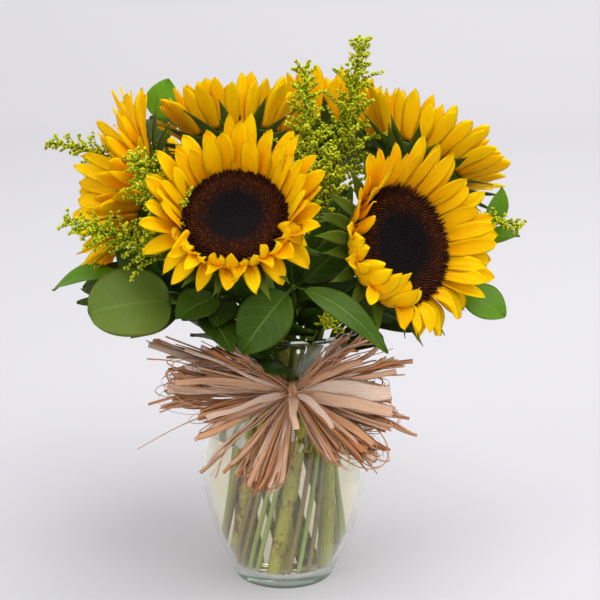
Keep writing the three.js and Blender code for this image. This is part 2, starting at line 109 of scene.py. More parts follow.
def unit(v):
    """v at length 1, row by row."""
    v = np.asarray(v, float)
    return v / np.maximum(np.linalg.norm(v, axis=-1, keepdims=True), 1e-9)


def facing(azimuth, elevation):
    """The way that azimuth and elevation point. Azimuth 0 is to the viewer, 90 to the viewer's right."""
    a, e = math.radians(azimuth), math.radians(elevation)
    return np.array([math.sin(a) * math.cos(e), -math.cos(a) * math.cos(e), math.sin(e)])


def turn_about(v, axis, angle):
    """v turned about a unit axis, row by row."""
    cos, sin = np.cos(angle)[..., None], np.sin(angle)[..., None]
    along = np.sum(v * axis, axis=-1, keepdims=True)
    return v * cos + np.cross(axis, v) * sin + axis * along * (1 - cos)


print("the viewer's right, half way up, is", np.round(facing(90, 45), 2))

# %% Curves


def walk(steps):
    """Points of a line from the origin that takes these steps, apart from the last, one by one."""
    return np.concatenate([[[0, 0, 0]], np.cumsum(steps[:-1], axis=0)])


def cubic(a, b, c, d, count):
    """Points of the curve from a to d that leaves a towards b and comes to d from c."""
    t = np.linspace(0, 1, count)[:, None]
    return a * (1 - t) ** 3 + 3 * b * t * (1 - t) ** 2 + 3 * c * t * t * (1 - t) + d * t**3


def quadratic(a, b, c, count):
    """Points of the curve from a to c that is drawn towards b."""
    t = np.linspace(0, 1, count)[:, None]
    return a * (1 - t) ** 2 + 2 * b * t * (1 - t) + c * t * t


def spread_evenly(points, count):
    """The same line with its points at even distances, and its length."""
    steps = np.linalg.norm(np.diff(points, axis=0), axis=1)
    length = np.concatenate([[0], np.cumsum(steps)])
    wanted = np.linspace(0, length[-1], count)
    return np.stack([np.interp(wanted, length, points[:, k]) for k in range(3)], axis=1), length[-1]


test_arch = quadratic(np.zeros(3), UP * 10, SIDEWAYS * 10, 50)
print("a small arch is", round(float(spread_evenly(test_arch, 9)[1]), 1), "mm long")

# %% Frames and circles along a line


def frames_along(points, face):
    """Unit tangent, normal and side at each point of a line. The normal keeps as near to face as it can."""
    tangent = unit(np.gradient(points, axis=0))
    face = np.broadcast_to(np.asarray(face, float), points.shape)
    normal = unit(face - np.sum(face * tangent, axis=1, keepdims=True) * tangent)
    return tangent, normal, np.cross(normal, tangent)


def circles(aside, flat, sides):
    """A unit circle of points round each of many axes, from two unit vectors across each of them."""
    angle = np.arange(sides) * 2 * math.pi / sides
    return aside[:, None] * np.cos(angle)[None, :, None] + flat[:, None] * np.sin(angle)[None, :, None]


test_line = np.outer(np.arange(5.0), UP)
print("the side of a straight line is", np.round(frames_along(test_line, SIDEWAYS)[2][0], 2))

# %% Closed skins


def skin(rings, start=None, end=None, across=None, seed=0.0):
    """A closed chunk over rings of points, rows x sides x 3. Its ends close on middle points."""
    rows, sides, _ = rings.shape
    start = rings[0].mean(axis=0) if start is None else start
    end = rings[-1].mean(axis=0) if end is None else end
    points = np.concatenate([rings.reshape(-1, 3), [start, end]])
    i, j = np.meshgrid(np.arange(rows - 1), np.arange(sides), indexing="ij")
    k = (j + 1) % sides
    here, above = i * sides, (i + 1) * sides
    quads = np.stack([here + j, here + k, above + k, above + j], axis=-1).reshape(-1, 4)
    j = np.arange(sides)
    k = (j + 1) % sides
    last = (rows - 1) * sides
    low = np.stack([k, j, np.full(sides, rows * sides)], axis=1)
    high = np.stack([last + j, last + k, np.full(sides, rows * sides + 1)], axis=1)
    along = np.linspace(0, 1, rows)
    across = np.zeros(sides) if across is None else across
    return {
        "points": points,
        "quads": quads,
        "triangles": np.concatenate([low, high]),
        "along": np.concatenate([np.repeat(along, sides), [along[0], along[-1]]]),
        "across": np.concatenate([np.tile(across, rows), [0, 0]]),
        "seed": np.full(len(points), seed),
    }


print("a skin over two rings of five points has", len(skin(np.zeros((2, 5, 3)))["quads"]), "quads")

# %% Round rods


def rod(points, radius, sides, ribs=0.0, rib_count=0, seed=0.0):
    """A round chunk along a line, with ribs as a share of its radius."""
    _, normal, side = frames_along(points, SIDEWAYS)
    angle = np.arange(sides) * 2 * math.pi / sides
    radius = np.broadcast_to(np.asarray(radius, float), len(points))[:, None, None]
    swell = (1 + ribs * np.cos(rib_count * angle))[None, :, None]
    rings = points[:, None] + circles(side, normal, sides) * radius * swell
    return skin(rings, across=np.cos(angle), seed=seed)


print("a test rod has", len(rod(test_line, 1.0, 8)["points"]), "points")

# %% Thin blades


def blade(points, face, half_width, lift, thickness, columns, twist=None, seed=0.0, tip=True):
    """A thin closed chunk: a petal, leaf or strand. lift(t, u) raises its upper side, in millimetres."""
    rows = len(points)
    tangent, normal, side = frames_along(points, face)
    if twist is not None:
        normal, side = turn_about(normal, tangent, twist), turn_about(side, tangent, twist)
    t = np.linspace(0, 1, rows)[:, None]
    u = np.linspace(-1, 1, columns)[None, :]
    height = np.zeros((rows, columns)) if lift is None else lift(t, u)
    half_width = np.broadcast_to(np.asarray(half_width, float), rows)[:, None]
    sideways = side[:, None] * (u * half_width)[..., None]
    upper = points[:, None] + sideways + normal[:, None] * height[..., None]
    depth = thickness * (1 - u**4) * np.minimum(1, half_width / 1.5)
    lower = upper - normal[:, None] * depth[..., None]
    rings = np.concatenate([upper[:, ::-1], lower[:, 1:-1]], axis=1)
    across = np.concatenate([u[0, ::-1], u[0, 1:-1]])
    end = points[-1] + tangent[-1] * half_width[-1, 0] * 0.6 if tip else None
    return skin(rings, end=end, across=across, seed=seed)


print("a test blade has", len(blade(test_line, SIDEWAYS, 1.0, None, 0.4, 9)["points"]), "points")

# %% Pieces from chunks
MM = 0.001
NUMBERS = ("along", "across", "seed")


def piece(name, chunks, finish, node):
    """Joins chunks into one mesh in metres, rides it on the root body and hides the node it replaces."""
    first = np.cumsum([0] + [len(c["points"]) for c in chunks[:-1]])
    points = np.concatenate([c["points"] for c in chunks]) * MM
    quads = np.concatenate([c["quads"] + n for c, n in zip(chunks, first)])
    triangles = np.concatenate([c["triangles"] + n for c, n in zip(chunks, first)])
    mesh = bpy.data.meshes.new(name)
    mesh.from_pydata(points.tolist(), [], quads.tolist() + triangles.tolist())
    for key in NUMBERS:
        layer = mesh.attributes.new(key, "FLOAT", "POINT")
        layer.data.foreach_set("value", np.concatenate([c[key] for c in chunks]).astype(np.float32))
    mesh.polygons.foreach_set("use_smooth", [True] * len(mesh.polygons))
    mesh.materials.append(finish.material)
    made = bpy.data.objects.new(name, mesh)
    bpy.context.collection.objects.link(made)
    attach(made, "root")
    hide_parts(node)
    print(f"{name}: {len(chunks)} chunks, {2 * len(quads) + len(triangles)} triangles")


def pieces(name, sets, finish, node):
    """A piece for each set of chunks. In both names the number comes in the place of the braces."""
    for n, chunks in enumerate(sets):
        piece(name.format(n + 1), chunks, finish, node.format(n + 1))


print("one metre is", round(1 / MM), "of the units that shapes are worked out in")

# %% [markdown]
# Small tools for finishes
#
# Every finish starts from the Principled shader. Its colour comes from a ramp or a mix that reads the
# numbers on the points or a noise in object space, so nothing needs an unwrapped picture. Numbers that
# are the same all over stay on the shader's own sockets.

# %% Colours


def srgb(r, g, b):
    """A screen colour from 0 to 255 as the linear colour that Blender's sockets take."""
    def linear(v):
        v /= 255
        return v / 12.92 if v <= 0.04045 else ((v + 0.055) / 1.055) ** 2.4

    return (linear(r), linear(g), linear(b), 1.0)


print("green of a leaf as a linear colour:", [round(v, 3) for v in srgb(80, 120, 55)[:3]])

# %% Nodes of a material


class Nodes:
    """A material under work: nodes are added by short calls and linked as they are made."""

    def __init__(self, name, **sockets):
        self.material = bpy.data.materials.new(name)
        self.material.use_nodes = True
        self.tree = self.material.node_tree
        self.shader = self.tree.nodes["Principled BSDF"]
        for socket, value in sockets.items():
            self.shader.inputs[socket.replace("_", " ")].default_value = value

    def put(self, value, socket):
        """Links an output to a socket, or sets a plain value on it."""
        if hasattr(value, "links"):
            self.tree.links.new(value, socket)
        else:
            socket.default_value = value

    def node(self, kind, inputs=None, **settings):
        """A new node with its inputs linked or set, and its settings made."""
        made = self.tree.nodes.new(kind)
        for key, value in settings.items():
            setattr(made, key, value)
        for key, value in (inputs or {}).items():
            self.put(value, made.inputs[key])
        return made

    def link(self, output, socket):
        """Links an output to one of the shader's own sockets."""
        self.tree.links.new(output, self.shader.inputs[socket])

    def end(self, output, socket):
        """Links an output to the material's Surface or Volume."""
        self.tree.links.new(output, self.tree.nodes["Material Output"].inputs[socket])

    def number(self, name):
        """One of the numbers that every point carries."""
        return self.node("ShaderNodeAttribute", attribute_name=name).outputs["Fac"]

    def math(self, operation, a, b=0.0, c=0.0):
        return self.node("ShaderNodeMath", {0: a, 1: b, 2: c}, operation=operation).outputs[0]

    def place(self, x, y, z):
        """A vector from three outputs."""
        return self.node("ShaderNodeCombineXYZ", {"X": x, "Y": y, "Z": z}).outputs[0]

    def spot(self):
        """The place on the object, in metres."""
        return self.node("ShaderNodeTexCoord").outputs["Object"]

    def noise(self, vector, scale, detail=3.0, roughness=0.55):
        inputs = {"Vector": vector, "Scale": scale, "Detail": detail, "Roughness": roughness}
        return self.node("ShaderNodeTexNoise", inputs).outputs["Fac"]


print("nodes are made by", len([n for n in vars(Nodes) if n[0] != "_"]), "kinds of short calls")

# %% Colour and relief of a finish


class Finish(Nodes):
    """A material under work that can be painted and raised."""

    def ramp(self, value, stops):
        """Colours or greys along a value, from pairs of a position and a colour or a number."""
        made = self.node("ShaderNodeValToRGB", {"Fac": value})
        elements = made.color_ramp.elements
        while len(elements) < len(stops):
            elements.new(0.5)
        for element, (position, color) in zip(elements, stops):
            element.position = position
            element.color = color if isinstance(color, tuple) else (color, color, color, 1.0)
        return made.outputs["Color"]

    def mix(self, share, a, b):
        """Colour a, with a share of colour b. A Mix node has sockets of one name for each kind of data."""
        made = self.node("ShaderNodeMix", data_type="RGBA")
        for key, kind, value in (("Factor", "VALUE", share), ("A", "RGBA", a), ("B", "RGBA", b)):
            self.put(value, next(s for s in made.inputs if s.name == key and s.type == kind))
        return next(s for s in made.outputs if s.type == "RGBA")

    def paint(self, color, over, value, stops):
        """A colour over another, as thick as a ramp of a value says."""
        return self.mix(self.ramp(value, stops), over, color)

    def bump(self, height, strength, distance):
        """Raises the surface by a height between 0 and 1, over a distance in metres."""
        inputs = {"Height": height, "Strength": strength, "Distance": distance}
        self.link(self.node("ShaderNodeBump", inputs).outputs[0], "Normal")


print("colour and relief need", len([n for n in vars(Finish) if n[0] != "_"]), "more")

# %% [markdown]
# Glass vase
#
# A pressed gathering vase is one turned wall of even thickness on a thick flat foot. A spin of its
# profile is the plain way to make it. The profile is a smooth curve through the same few radii as the
# model's, moved inwards by the wall for the inner side, with a round lip on top.

# %% Sizes of the vase
VASE_HEIGHT = 209.0
NECK_HEIGHT = 162.0
FOOT_RADIUS, FOOT_ROUNDING = 39.5, 3.2
WALL = 3.6
FLOOR = 9.0
WATER_LEVEL = 119.0
OUTER_WALL = np.array([
    [FOOT_RADIUS, 2.5], [45, 15], [55, 38], [62.4, 67], [65.2, 97], [60, 123],
    [46.5, 144], [38.3, NECK_HEIGHT], [44.5, 182], [56, 199], [65.5, VASE_HEIGHT - 1.5],
])
print("the belly is", 2 * OUTER_WALL[:, 0].max(), "mm across and the vase", VASE_HEIGHT, "mm tall")

# %% Vase profile


def smooth_through(knots, count):
    """A smooth curve through knots, the same kind that the model's wall is."""
    padded = np.concatenate([knots[:1], knots, knots[-1:]])
    where = np.linspace(0, len(knots) - 1, count)
    i = np.minimum(where.astype(int), len(knots) - 2)
    t = (where - i)[:, None]
    a, b, c, d = (padded[i + k] for k in range(4))
    m, n = (c - a) / 2, (d - b) / 2
    return (2 * b - 2 * c + m + n) * t**3 + (-3 * b + 3 * c - 2 * m - n) * t**2 + m * t + b


def moved_in(wall, distance):
    """The same wall, nearer to the axis by a distance that is measured square to it."""
    way = unit(np.gradient(wall, axis=0))
    return wall + np.stack([-way[:, 1], way[:, 0]], axis=1) * distance


outer = smooth_through(OUTER_WALL, 66)
inner = moved_in(outer, WALL)
inner = inner[inner[:, 1] > FLOOR + 6]


def wall_radius(z):
    return np.interp(z, outer[:, 1], outer[:, 0])


print("neck is", round(2 * float(wall_radius(NECK_HEIGHT)), 1), "mm across outside")

# %% Turn the vase


def arc(centre, radius, start, stop, count):
    a = np.radians(np.linspace(start, stop, count))
    return np.stack([centre[0] + radius * np.cos(a), centre[1] + radius * np.sin(a)], axis=1)


def turned(profile, sides=88):
    """A chunk turned from a profile whose ends lie on the axis. Radius and height, in millimetres."""
    angle = np.arange(sides) * 2 * math.pi / sides
    body = profile[1:-1]
    ring = np.stack([np.cos(angle), np.sin(angle), np.zeros(sides)], axis=1)
    rings = body[:, 0][:, None, None] * ring[None] + body[:, 1][:, None, None] * UP
    ends = [np.array([0, 0, profile[k][1]]) for k in (0, -1)]
    return skin(rings, *ends)


under = [[0, 0], [14, 0], [28, 0]]
foot = arc((FOOT_RADIUS - FOOT_ROUNDING, FOOT_ROUNDING), FOOT_ROUNDING, -90, -10, 8)
lip_middle = (outer[-1] + inner[-1]) / 2
lip_start = math.degrees(math.atan2(*(outer[-1] - lip_middle)[::-1]))
lip = arc(lip_middle, WALL / 2, lip_start, lip_start + 180, 14)[1:-1]
corner = quadratic(inner[0], np.array([inner[0][0] - 5.5, FLOOR]), np.array([24, FLOOR - 0.2]), 12)
floor_inside = [[10, FLOOR - 0.4], [0, FLOOR - 0.4]]
profile = np.concatenate([under, foot, outer[1:], lip, inner[::-1], corner[1:], floor_inside])
print("vase profile has", len(profile), "points")

# %% [markdown]
# Clear glass
#
# Glass is a Principled shader that lets all light through. What makes it look like glass and not like
# plastic is its index, a true wall with two sides, and a faint green in the thick foot, which comes
# from absorption in the volume and so shows only where light travels far. The rim of the foot looks
# darker still, because light runs round in it; that dark band is painted shade, a dark green put in the
# base colour there. Light that comes in to light up the stems is let straight through both skins.
# Bending it would be truer, but takes very many samples to come out clean.

# %% Glass finish
BOUNCES_IN_GLASS = 4.5


def clear_finish(name, index, tint, density):
    """Glass or water. Rays that light something up, or are caught in a rim, pass straight through it."""
    finish = Finish(name, Base_Color=(1, 1, 1, 1), Roughness=0.0, IOR=index, Transmission_Weight=1.0)
    absorb = finish.node("ShaderNodeVolumeAbsorption", {"Color": tint, "Density": density})
    finish.end(absorb.outputs[0], "Volume")
    rays = finish.node("ShaderNodeLightPath")
    lighting = finish.math("MAXIMUM", rays.outputs["Is Shadow Ray"], rays.outputs["Is Diffuse Ray"])
    caught = finish.math("GREATER_THAN", rays.outputs["Ray Depth"], BOUNCES_IN_GLASS)
    straight = finish.math("MAXIMUM", lighting, caught)
    clear = finish.node("ShaderNodeBsdfTransparent")
    choices = {0: straight, 1: finish.shader.outputs[0], 2: clear.outputs[0]}
    finish.end(finish.node("ShaderNodeMixShader", choices).outputs[0], "Surface")
    return finish


glass = clear_finish("clear_glass", 1.5, (0.62, 0.72, 0.58, 1), 11.0)
# Painted shade: a dark green band in the base colour round the rim of the foot, where light runs round in
# the glass.
CLEAR, RIM_SHADE_DARK, RIM_SHADE_DIM = (1, 1, 1, 1), (0.02, 0.07, 0.05, 1), (0.08, 0.16, 0.12, 1)
painted_rim_shade = glass.ramp(glass.number("along"), [
    (0.024, CLEAR), (0.034, RIM_SHADE_DARK), (0.06, RIM_SHADE_DIM), (0.072, CLEAR),
])
glass.link(painted_rim_shade, "Base Color")
piece("vase", [turned(profile)], glass, "glass_vase")

# %% [markdown]
# Water
#
# Water and glass touch, and if both had a wall in the same place the renderer would not know which
# comes first. The water's side keeps a hair's breadth from the glass, as in the model. Light is bent at
# both walls and the thin gap between them cancels out. At the top the surface climbs the glass in a
# small meniscus. Water that stems stand in isn't quite clear, so it gets a faint yellow tint in its
# volume.

# %% Water body
WATER_GAP = 0.12
MENISCUS = [(0, 1.2), (0.8, 0.5), (2.2, 0.08), (6, 0)]  # distance from the glass, and height over the level

wet_wall = moved_in(outer, WALL + WATER_GAP)
top = WATER_LEVEL + MENISCUS[0][1]
rim_radius = float(np.interp(top, *wet_wall[:, ::-1].T))
wet_wall = wet_wall[(wet_wall[:, 1] > FLOOR + 6) & (wet_wall[:, 1] < top)]
surface = [[rim_radius - inwards, WATER_LEVEL + up] for inwards, up in MENISCUS]
surface += [[20, WATER_LEVEL], [0, WATER_LEVEL]]
bottom = corner[::-1] + [-WATER_GAP * 0.7, WATER_GAP]
water_profile = np.concatenate([[[0, FLOOR - 0.2], [10, FLOOR - 0.2]], bottom[:-1], wet_wall, surface])
water = clear_finish("water", 1.333, (0.8, 0.73, 0.42, 1), 10.0)
piece("water_body", [turned(water_profile)], water, "water")

# %% [markdown]
# Stems in the vase
#
# A hand-tied bouquet is a spiral: each stem crosses the neck at its own angle and stands turned back by
# the same twist. So no two of them meet, however full the neck is. Above the neck each stem bends out
# to what it carries.

# %% Where stems stand
MIDDLE, THICK_RING, TWIG_RING = (0.0, 0.0, 1.7), (25.5, 31.0, 1.7), (30.3, 37.0, 4.5)
TWIST = 56.0
STEM_RADIUS, TWIG_RADIUS = 5.5, 1.7
ROWS_BELOW_NECK, ROWS_ABOVE_NECK = 30, 60


def standing(ring, angle):
    """A stem's foot, its place in the neck and its way between them."""
    neck_radius, foot_radius, foot_lift = ring

    def spot(radius, degrees, z):
        turned_by = math.radians(degrees)
        return np.array([radius * math.cos(turned_by), radius * math.sin(turned_by), z])

    foot_at = spot(foot_radius, angle - TWIST, FLOOR + foot_lift)
    neck_at = spot(neck_radius, angle, NECK_HEIGHT)
    return foot_at, neck_at, unit(neck_at - foot_at)


def stem_line(ring, angle, end, way, bend):
    """A stem's whole line, and the part above the neck alone."""
    foot_at, neck_at, lean = standing(ring, angle)
    reach = float(np.linalg.norm(end - neck_at)) * bend
    above = cubic(neck_at, neck_at + lean * reach, end - way * reach, end, ROWS_ABOVE_NECK)
    below = foot_at + (neck_at - foot_at) * np.linspace(0, 1, ROWS_BELOW_NECK)[:-1, None]
    return np.concatenate([below, above]), above


print("a stem at 245 degrees stands at", np.round(standing(THICK_RING, 245)[0], 1))

# %% [markdown]
# Sunflower heads
#
# A head is a shallow green cup. Its edge carries bracts below and two rows of ray petals above, and its
# flat top is a spiral of hundreds of tiny florets. Each head is worked out lying flat, facing up, and
# then turned to the way that it faces. The list says where the middle of each disc is, which way it
# faces, how wide it is, at what angle its stem stands in the neck, and how long and how steep its
# petals are.

# %% Where the heads are
SUNFLOWERS = [
    {
        "at": (-34, -85, 311), "azimuth": -3, "elevation": 43, "disc": 38, "angle": 245,
        "petal": 45, "upright": 6,
    },
    {
        "at": (87, -68, 285), "azimuth": 40, "elevation": 20, "disc": 44, "angle": 312,
        "petal": 42, "upright": -8, "gather": (150, 20),
    },
    {
        "at": (-119, 5, 311), "azimuth": -78, "elevation": 16, "disc": 38, "angle": 182,
        "splay": 25, "turn": 55,
    },
    {
        "at": (-36, 50, 345), "azimuth": 187, "elevation": 60, "disc": 38, "angle": 0, "ring": MIDDLE,
        "petal": 40, "upright": 4,
    },
    {"at": (107, 39, 329), "azimuth": 135, "elevation": 48, "disc": 39, "angle": 25, "petal": 40},
    {"at": (37, 134, 328), "azimuth": 175, "elevation": 48, "disc": 36, "angle": 75, "petal": 43},
    {"at": (-64, 124, 270), "azimuth": 205, "elevation": 14, "disc": 38, "angle": 125},
]
print("the discs are", [2 * flower["disc"] for flower in SUNFLOWERS], "mm across")

# %% The frame of a head
RING_BASE, DISC_TOP, HEAD_DEPTH = 2.6, 7.6, 24.0


class Head:
    """The frame of one sunflower head: x to the side, y up its face, z the way that it faces."""

    def __init__(
        self, at, azimuth, elevation, disc, angle,
        ring=THICK_RING, petal=47.0, upright=0.0, splay=0.0, gather=(0, 0), turn=18,
    ):
        self.way = facing(azimuth, elevation)
        self.side = unit(np.cross(UP, self.way))
        self.up = np.cross(self.way, self.side)
        self.origin = np.array(at, float) - self.way * DISC_TOP
        self.disc, self.angle, self.ring = disc, angle, ring
        self.petal, self.upright, self.splay, self.gather, self.twist = petal, upright, splay, gather, turn

    def lean(self, angle):
        """How much steeper than usual, in degrees, the petals stand at an angle round the face."""
        centre, amount = self.gather
        gathered = amount * max(0.0, math.cos(angle - math.radians(centre))) ** 2
        return self.upright - self.splay * math.sin(angle) ** 2 + gathered

    def out(self, points):
        """Points of the flat head in the frame of the bouquet."""
        x, y, z = points[..., :1], points[..., 1:2], points[..., 2:]
        return self.origin + x * self.side + y * self.up + z * self.way

    def turn(self, chunk):
        """A chunk of the flat head, turned to the way that the head faces."""
        chunk["points"] = self.out(chunk["points"])
        return chunk


heads = [Head(**flower) for flower in SUNFLOWERS]
print("the front heads face", [np.round(head.way, 2).tolist() for head in heads[:2]])

# %% [markdown]
# Ray petals
#
# A ray petal is a long pointed blade with a narrow root, two or three lengthwise folds and a tip that
# dries and turns first. It leaves the head steeply and leans out. Real ones differ in length, lean,
# twist and sideways sway, so each of these is drawn from a seeded range, and the oldest, at the bottom
# of the front heads, are shorter and crumpled.

# %% Outline and line of a petal


def petal_outline(t, blunt):
    """Half width along a petal, as a share of its widest: nearly straight sides and a pointed arch."""
    grow = np.clip(t / 0.6, 0, 1)
    root = 0.66 + 0.34 * grow * grow * (3 - 2 * grow)
    return np.maximum(root * (1 - np.clip(t, 0, 1) ** blunt) ** 0.75, 0.03)


def lean_out(angle, radius, height, heading, steep, length, tilt):
    """The line of a petal or bract from its root on the flat head, and the way that its face looks."""
    flat = np.cos(steep)
    way = np.stack([np.cos(heading) * flat, np.sin(heading) * flat, np.sin(steep)], axis=1)
    root = np.array([radius * math.cos(angle), radius * math.sin(angle), height])
    face = [-math.cos(angle) * math.sin(tilt), -math.sin(angle) * math.sin(tilt), math.cos(tilt)]
    return root + walk(way) * length / (len(way) - 1), np.array(face)


print("a petal's root is", float(petal_outline(0.0, 5.0)), "of its greatest width")

# %% Petal maker
PETAL_HALF_WIDTH = 8.1
PETAL_ROWS, PETAL_COLUMNS = 14, 7


def ray_petal(draw, angle, radius, length, width, first, last, crumple, turn):
    """One petal of the flat head. first and last are its steepness at the root and the tip, in degrees."""
    t = np.linspace(0, 1, PETAL_ROWS)
    steep = np.radians(first + (last - first) * t**0.9 + crumple * 45 * np.sin(t * draw.uniform(4, 7) + 1))
    sway = draw.uniform(-0.2, 0.2) + crumple * draw.uniform(-0.7, 0.7)
    heading = angle + sway * t + crumple * 0.5 * np.sin(5 * t)
    middle = np.radians(min(first + last, 170) / 2)
    points, face = lean_out(angle, radius, 1.0, heading, steep, length, middle)
    folds = draw.choice([2, 3, 3, 4])
    phase = draw.uniform(-0.8, 0.8)
    cup = draw.uniform(0.08, 0.38) + crumple * 0.5
    wave = draw.uniform(0.3, 1.1) + 2.0 * crumple
    ripple = draw.uniform(0, 6)

    def lift(t, u):
        groove = 0.5 * np.cos(folds * math.pi * u + phase) * np.sin(math.pi * np.clip(t, 0.02, 1)) ** 0.5
        hollow = cup * np.abs(u) ** 1.5 * width * (1 - 0.4 * t)
        edge = wave * u**3 * np.sin(7 * t + ripple) * t
        return groove + hollow + edge

    twist = np.radians(draw.uniform(-turn, turn) + crumple * draw.uniform(-90, 90)) * t
    share = petal_outline(t, draw.uniform(2.2, 4.0) if crumple else draw.uniform(3.4, 7.5))
    return blade(points, face, width * share, lift, 0.45, PETAL_COLUMNS, twist, seed=draw.random())


print("a petal is", round(2 * PETAL_HALF_WIDTH, 1), "mm wide at most, before its own draw")

# %% [markdown]
# Old and young petals
#
# The petals stand in two rows and hide each other's roots. The oldest ones have lost their hold. On the
# first front head those at the bottom have shrunk to a ruffle: some droop, some stand up and some
# crumple. On the second one those at the lower left fold in over the disc. They are listed one by one,
# since the photograph shows them: the angle round the head (0 at the side, 90 at the top of the face),
# the kind, and the length.

# %% Old petals, one by one
# Of each kind: how steep its root and its tip are, in degrees, and how much it crumples
KINDS = {
    "droops": (34, -30, 0.18), "stands": (46, 112, 0.22),
    "crumples": (52, 8, 0.55), "folds in": (66, 160, 0.16),
}
OLD_PETALS = {
    0: [
        (204, "droops", 36), (209, "stands", 29), (215, "crumples", 31), (220, "droops", 33),
        (225, "stands", 27), (230, "droops", 34), (236, "crumples", 28), (241, "stands", 26),
        (246, "droops", 27), (251, "stands", 24), (256, "crumples", 26), (261, "stands", 28),
        (266, "droops", 24), (271, "stands", 27), (277, "crumples", 26), (282, "stands", 24),
        (287, "droops", 30), (292, "stands", 24), (297, "crumples", 27), (302, "stands", 28),
        (308, "droops", 28), (313, "stands", 29), (319, "crumples", 30), (325, "droops", 31),
        (330, "stands", 31), (335, "crumples", 34),
    ],
    1: [
        (170, "stands", 31), (177, "stands", 28), (184, "crumples", 26), (191, "stands", 29),
        (198, "folds in", 29), (205, "folds in", 33), (212, "crumples", 31), (219, "folds in", 36),
        (226, "folds in", 40), (233, "folds in", 35), (240, "folds in", 38), (247, "crumples", 31),
        (254, "folds in", 32), (261, "crumples", 28), (268, "droops", 29), (275, "crumples", 29),
        (282, "droops", 31), (289, "droops", 33), (296, "crumples", 33), (303, "droops", 34),
        (310, "droops", 36),
    ],
}
print("old petals:", {n + 1: len(old) for n, old in OLD_PETALS.items()})

# %% Petals of a head
PETAL_COUNT = 56
OLD_TURN = 18


def head_petals(number, head):
    """The young petals all round, apart from the stretch of the old ones, and then the old ones."""
    draw = random.Random(100 + number)
    old = OLD_PETALS.get(number, [])
    low, high = (old[0][0] - 3, old[-1][0] + 3) if old else (0, 0)
    petals = []
    for k in range(PETAL_COUNT):
        outer_row = k % 2
        angle = 2 * math.pi * (k + draw.uniform(-0.4, 0.4)) / PETAL_COUNT
        lift = head.lean(angle)
        first = (52 if outer_row else 72) + lift + draw.uniform(-7, 7)
        last = (34 if outer_row else 50) + lift + draw.uniform(-15, 13)
        length = head.petal * draw.uniform(0.82, 1.07)
        width = PETAL_HALF_WIDTH * draw.uniform(0.72, 1.0)
        if low < math.degrees(angle) < high:
            continue
        radius = head.disc + (0.4 if outer_row else -0.8)
        petals.append(ray_petal(draw, angle, radius, length, width, first, last, 0.0, head.twist))
    for degrees, kind, length in old:
        first, last, crumple = KINDS[kind]
        angle = math.radians(degrees + draw.uniform(-2, 2))
        width = PETAL_HALF_WIDTH * draw.uniform(0.8, 1.12)
        last += draw.uniform(-20, 20)
        crumple *= draw.uniform(0.6, 1.4)
        radius = head.disc + (1.8 if last > 80 else -0.5)
        petals.append(ray_petal(draw, angle, radius, length, width, first, last, crumple, OLD_TURN))
    return [head.turn(petal) for petal in petals]


petal_sets = [head_petals(n, head) for n, head in enumerate(heads)]
print("petals:", [len(chunks) for chunks in petal_sets])

# %% [markdown]
# Petal finish
#
# Petals are matt and let light through, so the yellow of one glows in the shade of the next. A little
# subsurface scattering does that. The colour runs from orange at the root to clear yellow at the tip,
# with fine lengthwise streaks, and each petal's seed shifts it a little. The deep orange at the root is
# partly the petal's own colour and partly painted shade, where the petals hide each other's roots. The
# streaks are also the bump.

# %% Petal material
petal = Finish(
    "sunflower_petal", Roughness=0.6, Specular_IOR_Level=0.05,
    Subsurface_Weight=0.35, Subsurface_Scale=0.003, Subsurface_Radius=(1.0, 0.5, 0.05),
)
along, across, seed = (petal.number(name) for name in NUMBERS)
lines = petal.place(petal.math("MULTIPLY", across, 7.0), petal.math("MULTIPLY", along, 1.3), seed)
streaks = petal.noise(lines, 3.0, 4.0)
# Partly painted shade: the deep orange at the root stands for the shade where the petals hide each other's
# roots.
body = petal.ramp(along, [
    (0.0, srgb(200, 96, 0)), (0.16, srgb(238, 146, 0)), (0.45, srgb(252, 184, 0)), (1.0, srgb(252, 208, 0)),
])
shade = petal.ramp(seed, [(0.0, srgb(246, 164, 0)), (0.5, srgb(252, 190, 0)), (1.0, srgb(254, 214, 4))])
color = petal.mix(0.4, body, shade)
color = petal.paint(srgb(226, 138, 0), color, streaks, [(0.42, 0.0), (0.72, 0.5)])
petal.link(color, "Base Color")
petal.bump(streaks, 0.6, 0.0007)

pieces("sunflower_{}_rays", petal_sets, petal, "sunflower_{}_petals")

# %% [markdown]
# Disc florets
#
# The florets of a sunflower follow the golden angle: each new one is turned by 137.5 degrees from the
# last, and the spirals appear by themselves. The youngest, in the sunken middle, are tight buds.
# Further out they are pointed, and at the edge they are open, with a fringe of tall tips over the
# petals' roots. Real geometry is worth it here because the front heads show every one.

# %% Many grains at once


def grains(rings, tips, roots, heights, across, seeds):
    """Many small closed grains as one chunk. Each has rings of points, a tip above and a root below."""
    count, sides = rings[0].shape[:2]
    size = len(rings) * sides + 2
    points = np.concatenate([*rings, tips[:, None], roots[:, None]], axis=1)
    j = np.arange(sides)
    n = (j + 1) % sides
    wall = np.stack([j, n, sides + n, sides + j], axis=1)
    quads = np.concatenate([wall + sides * r for r in range(len(rings) - 1)])
    top = size - 2 - sides
    at_tip = np.stack([top + j, top + n, np.full(sides, size - 2)], axis=1)
    at_root = np.stack([n, j, np.full(sides, size - 1)], axis=1)
    offset = (np.arange(count) * size)[:, None, None]
    return {
        "points": points.reshape(-1, 3),
        "quads": (quads[None] + offset).reshape(-1, 4),
        "triangles": (np.concatenate([at_tip, at_root])[None] + offset).reshape(-1, 3),
        "along": np.tile(np.concatenate([np.repeat(heights, sides), [1.0, 0.0]]), count),
        "across": np.repeat(across, size),
        "seed": np.repeat(seeds, size),
    }


test_axes = np.array([UP, UP])
test_rings = [circles(test_axes, test_axes, 5)] * 2
test_grains = grains(test_rings, test_axes, test_axes, [0.0, 0.5], [0.0, 0.0], [0.0, 0.0])
print("two grains with five sides have", len(test_grains["triangles"]), "triangles at their tips and roots")

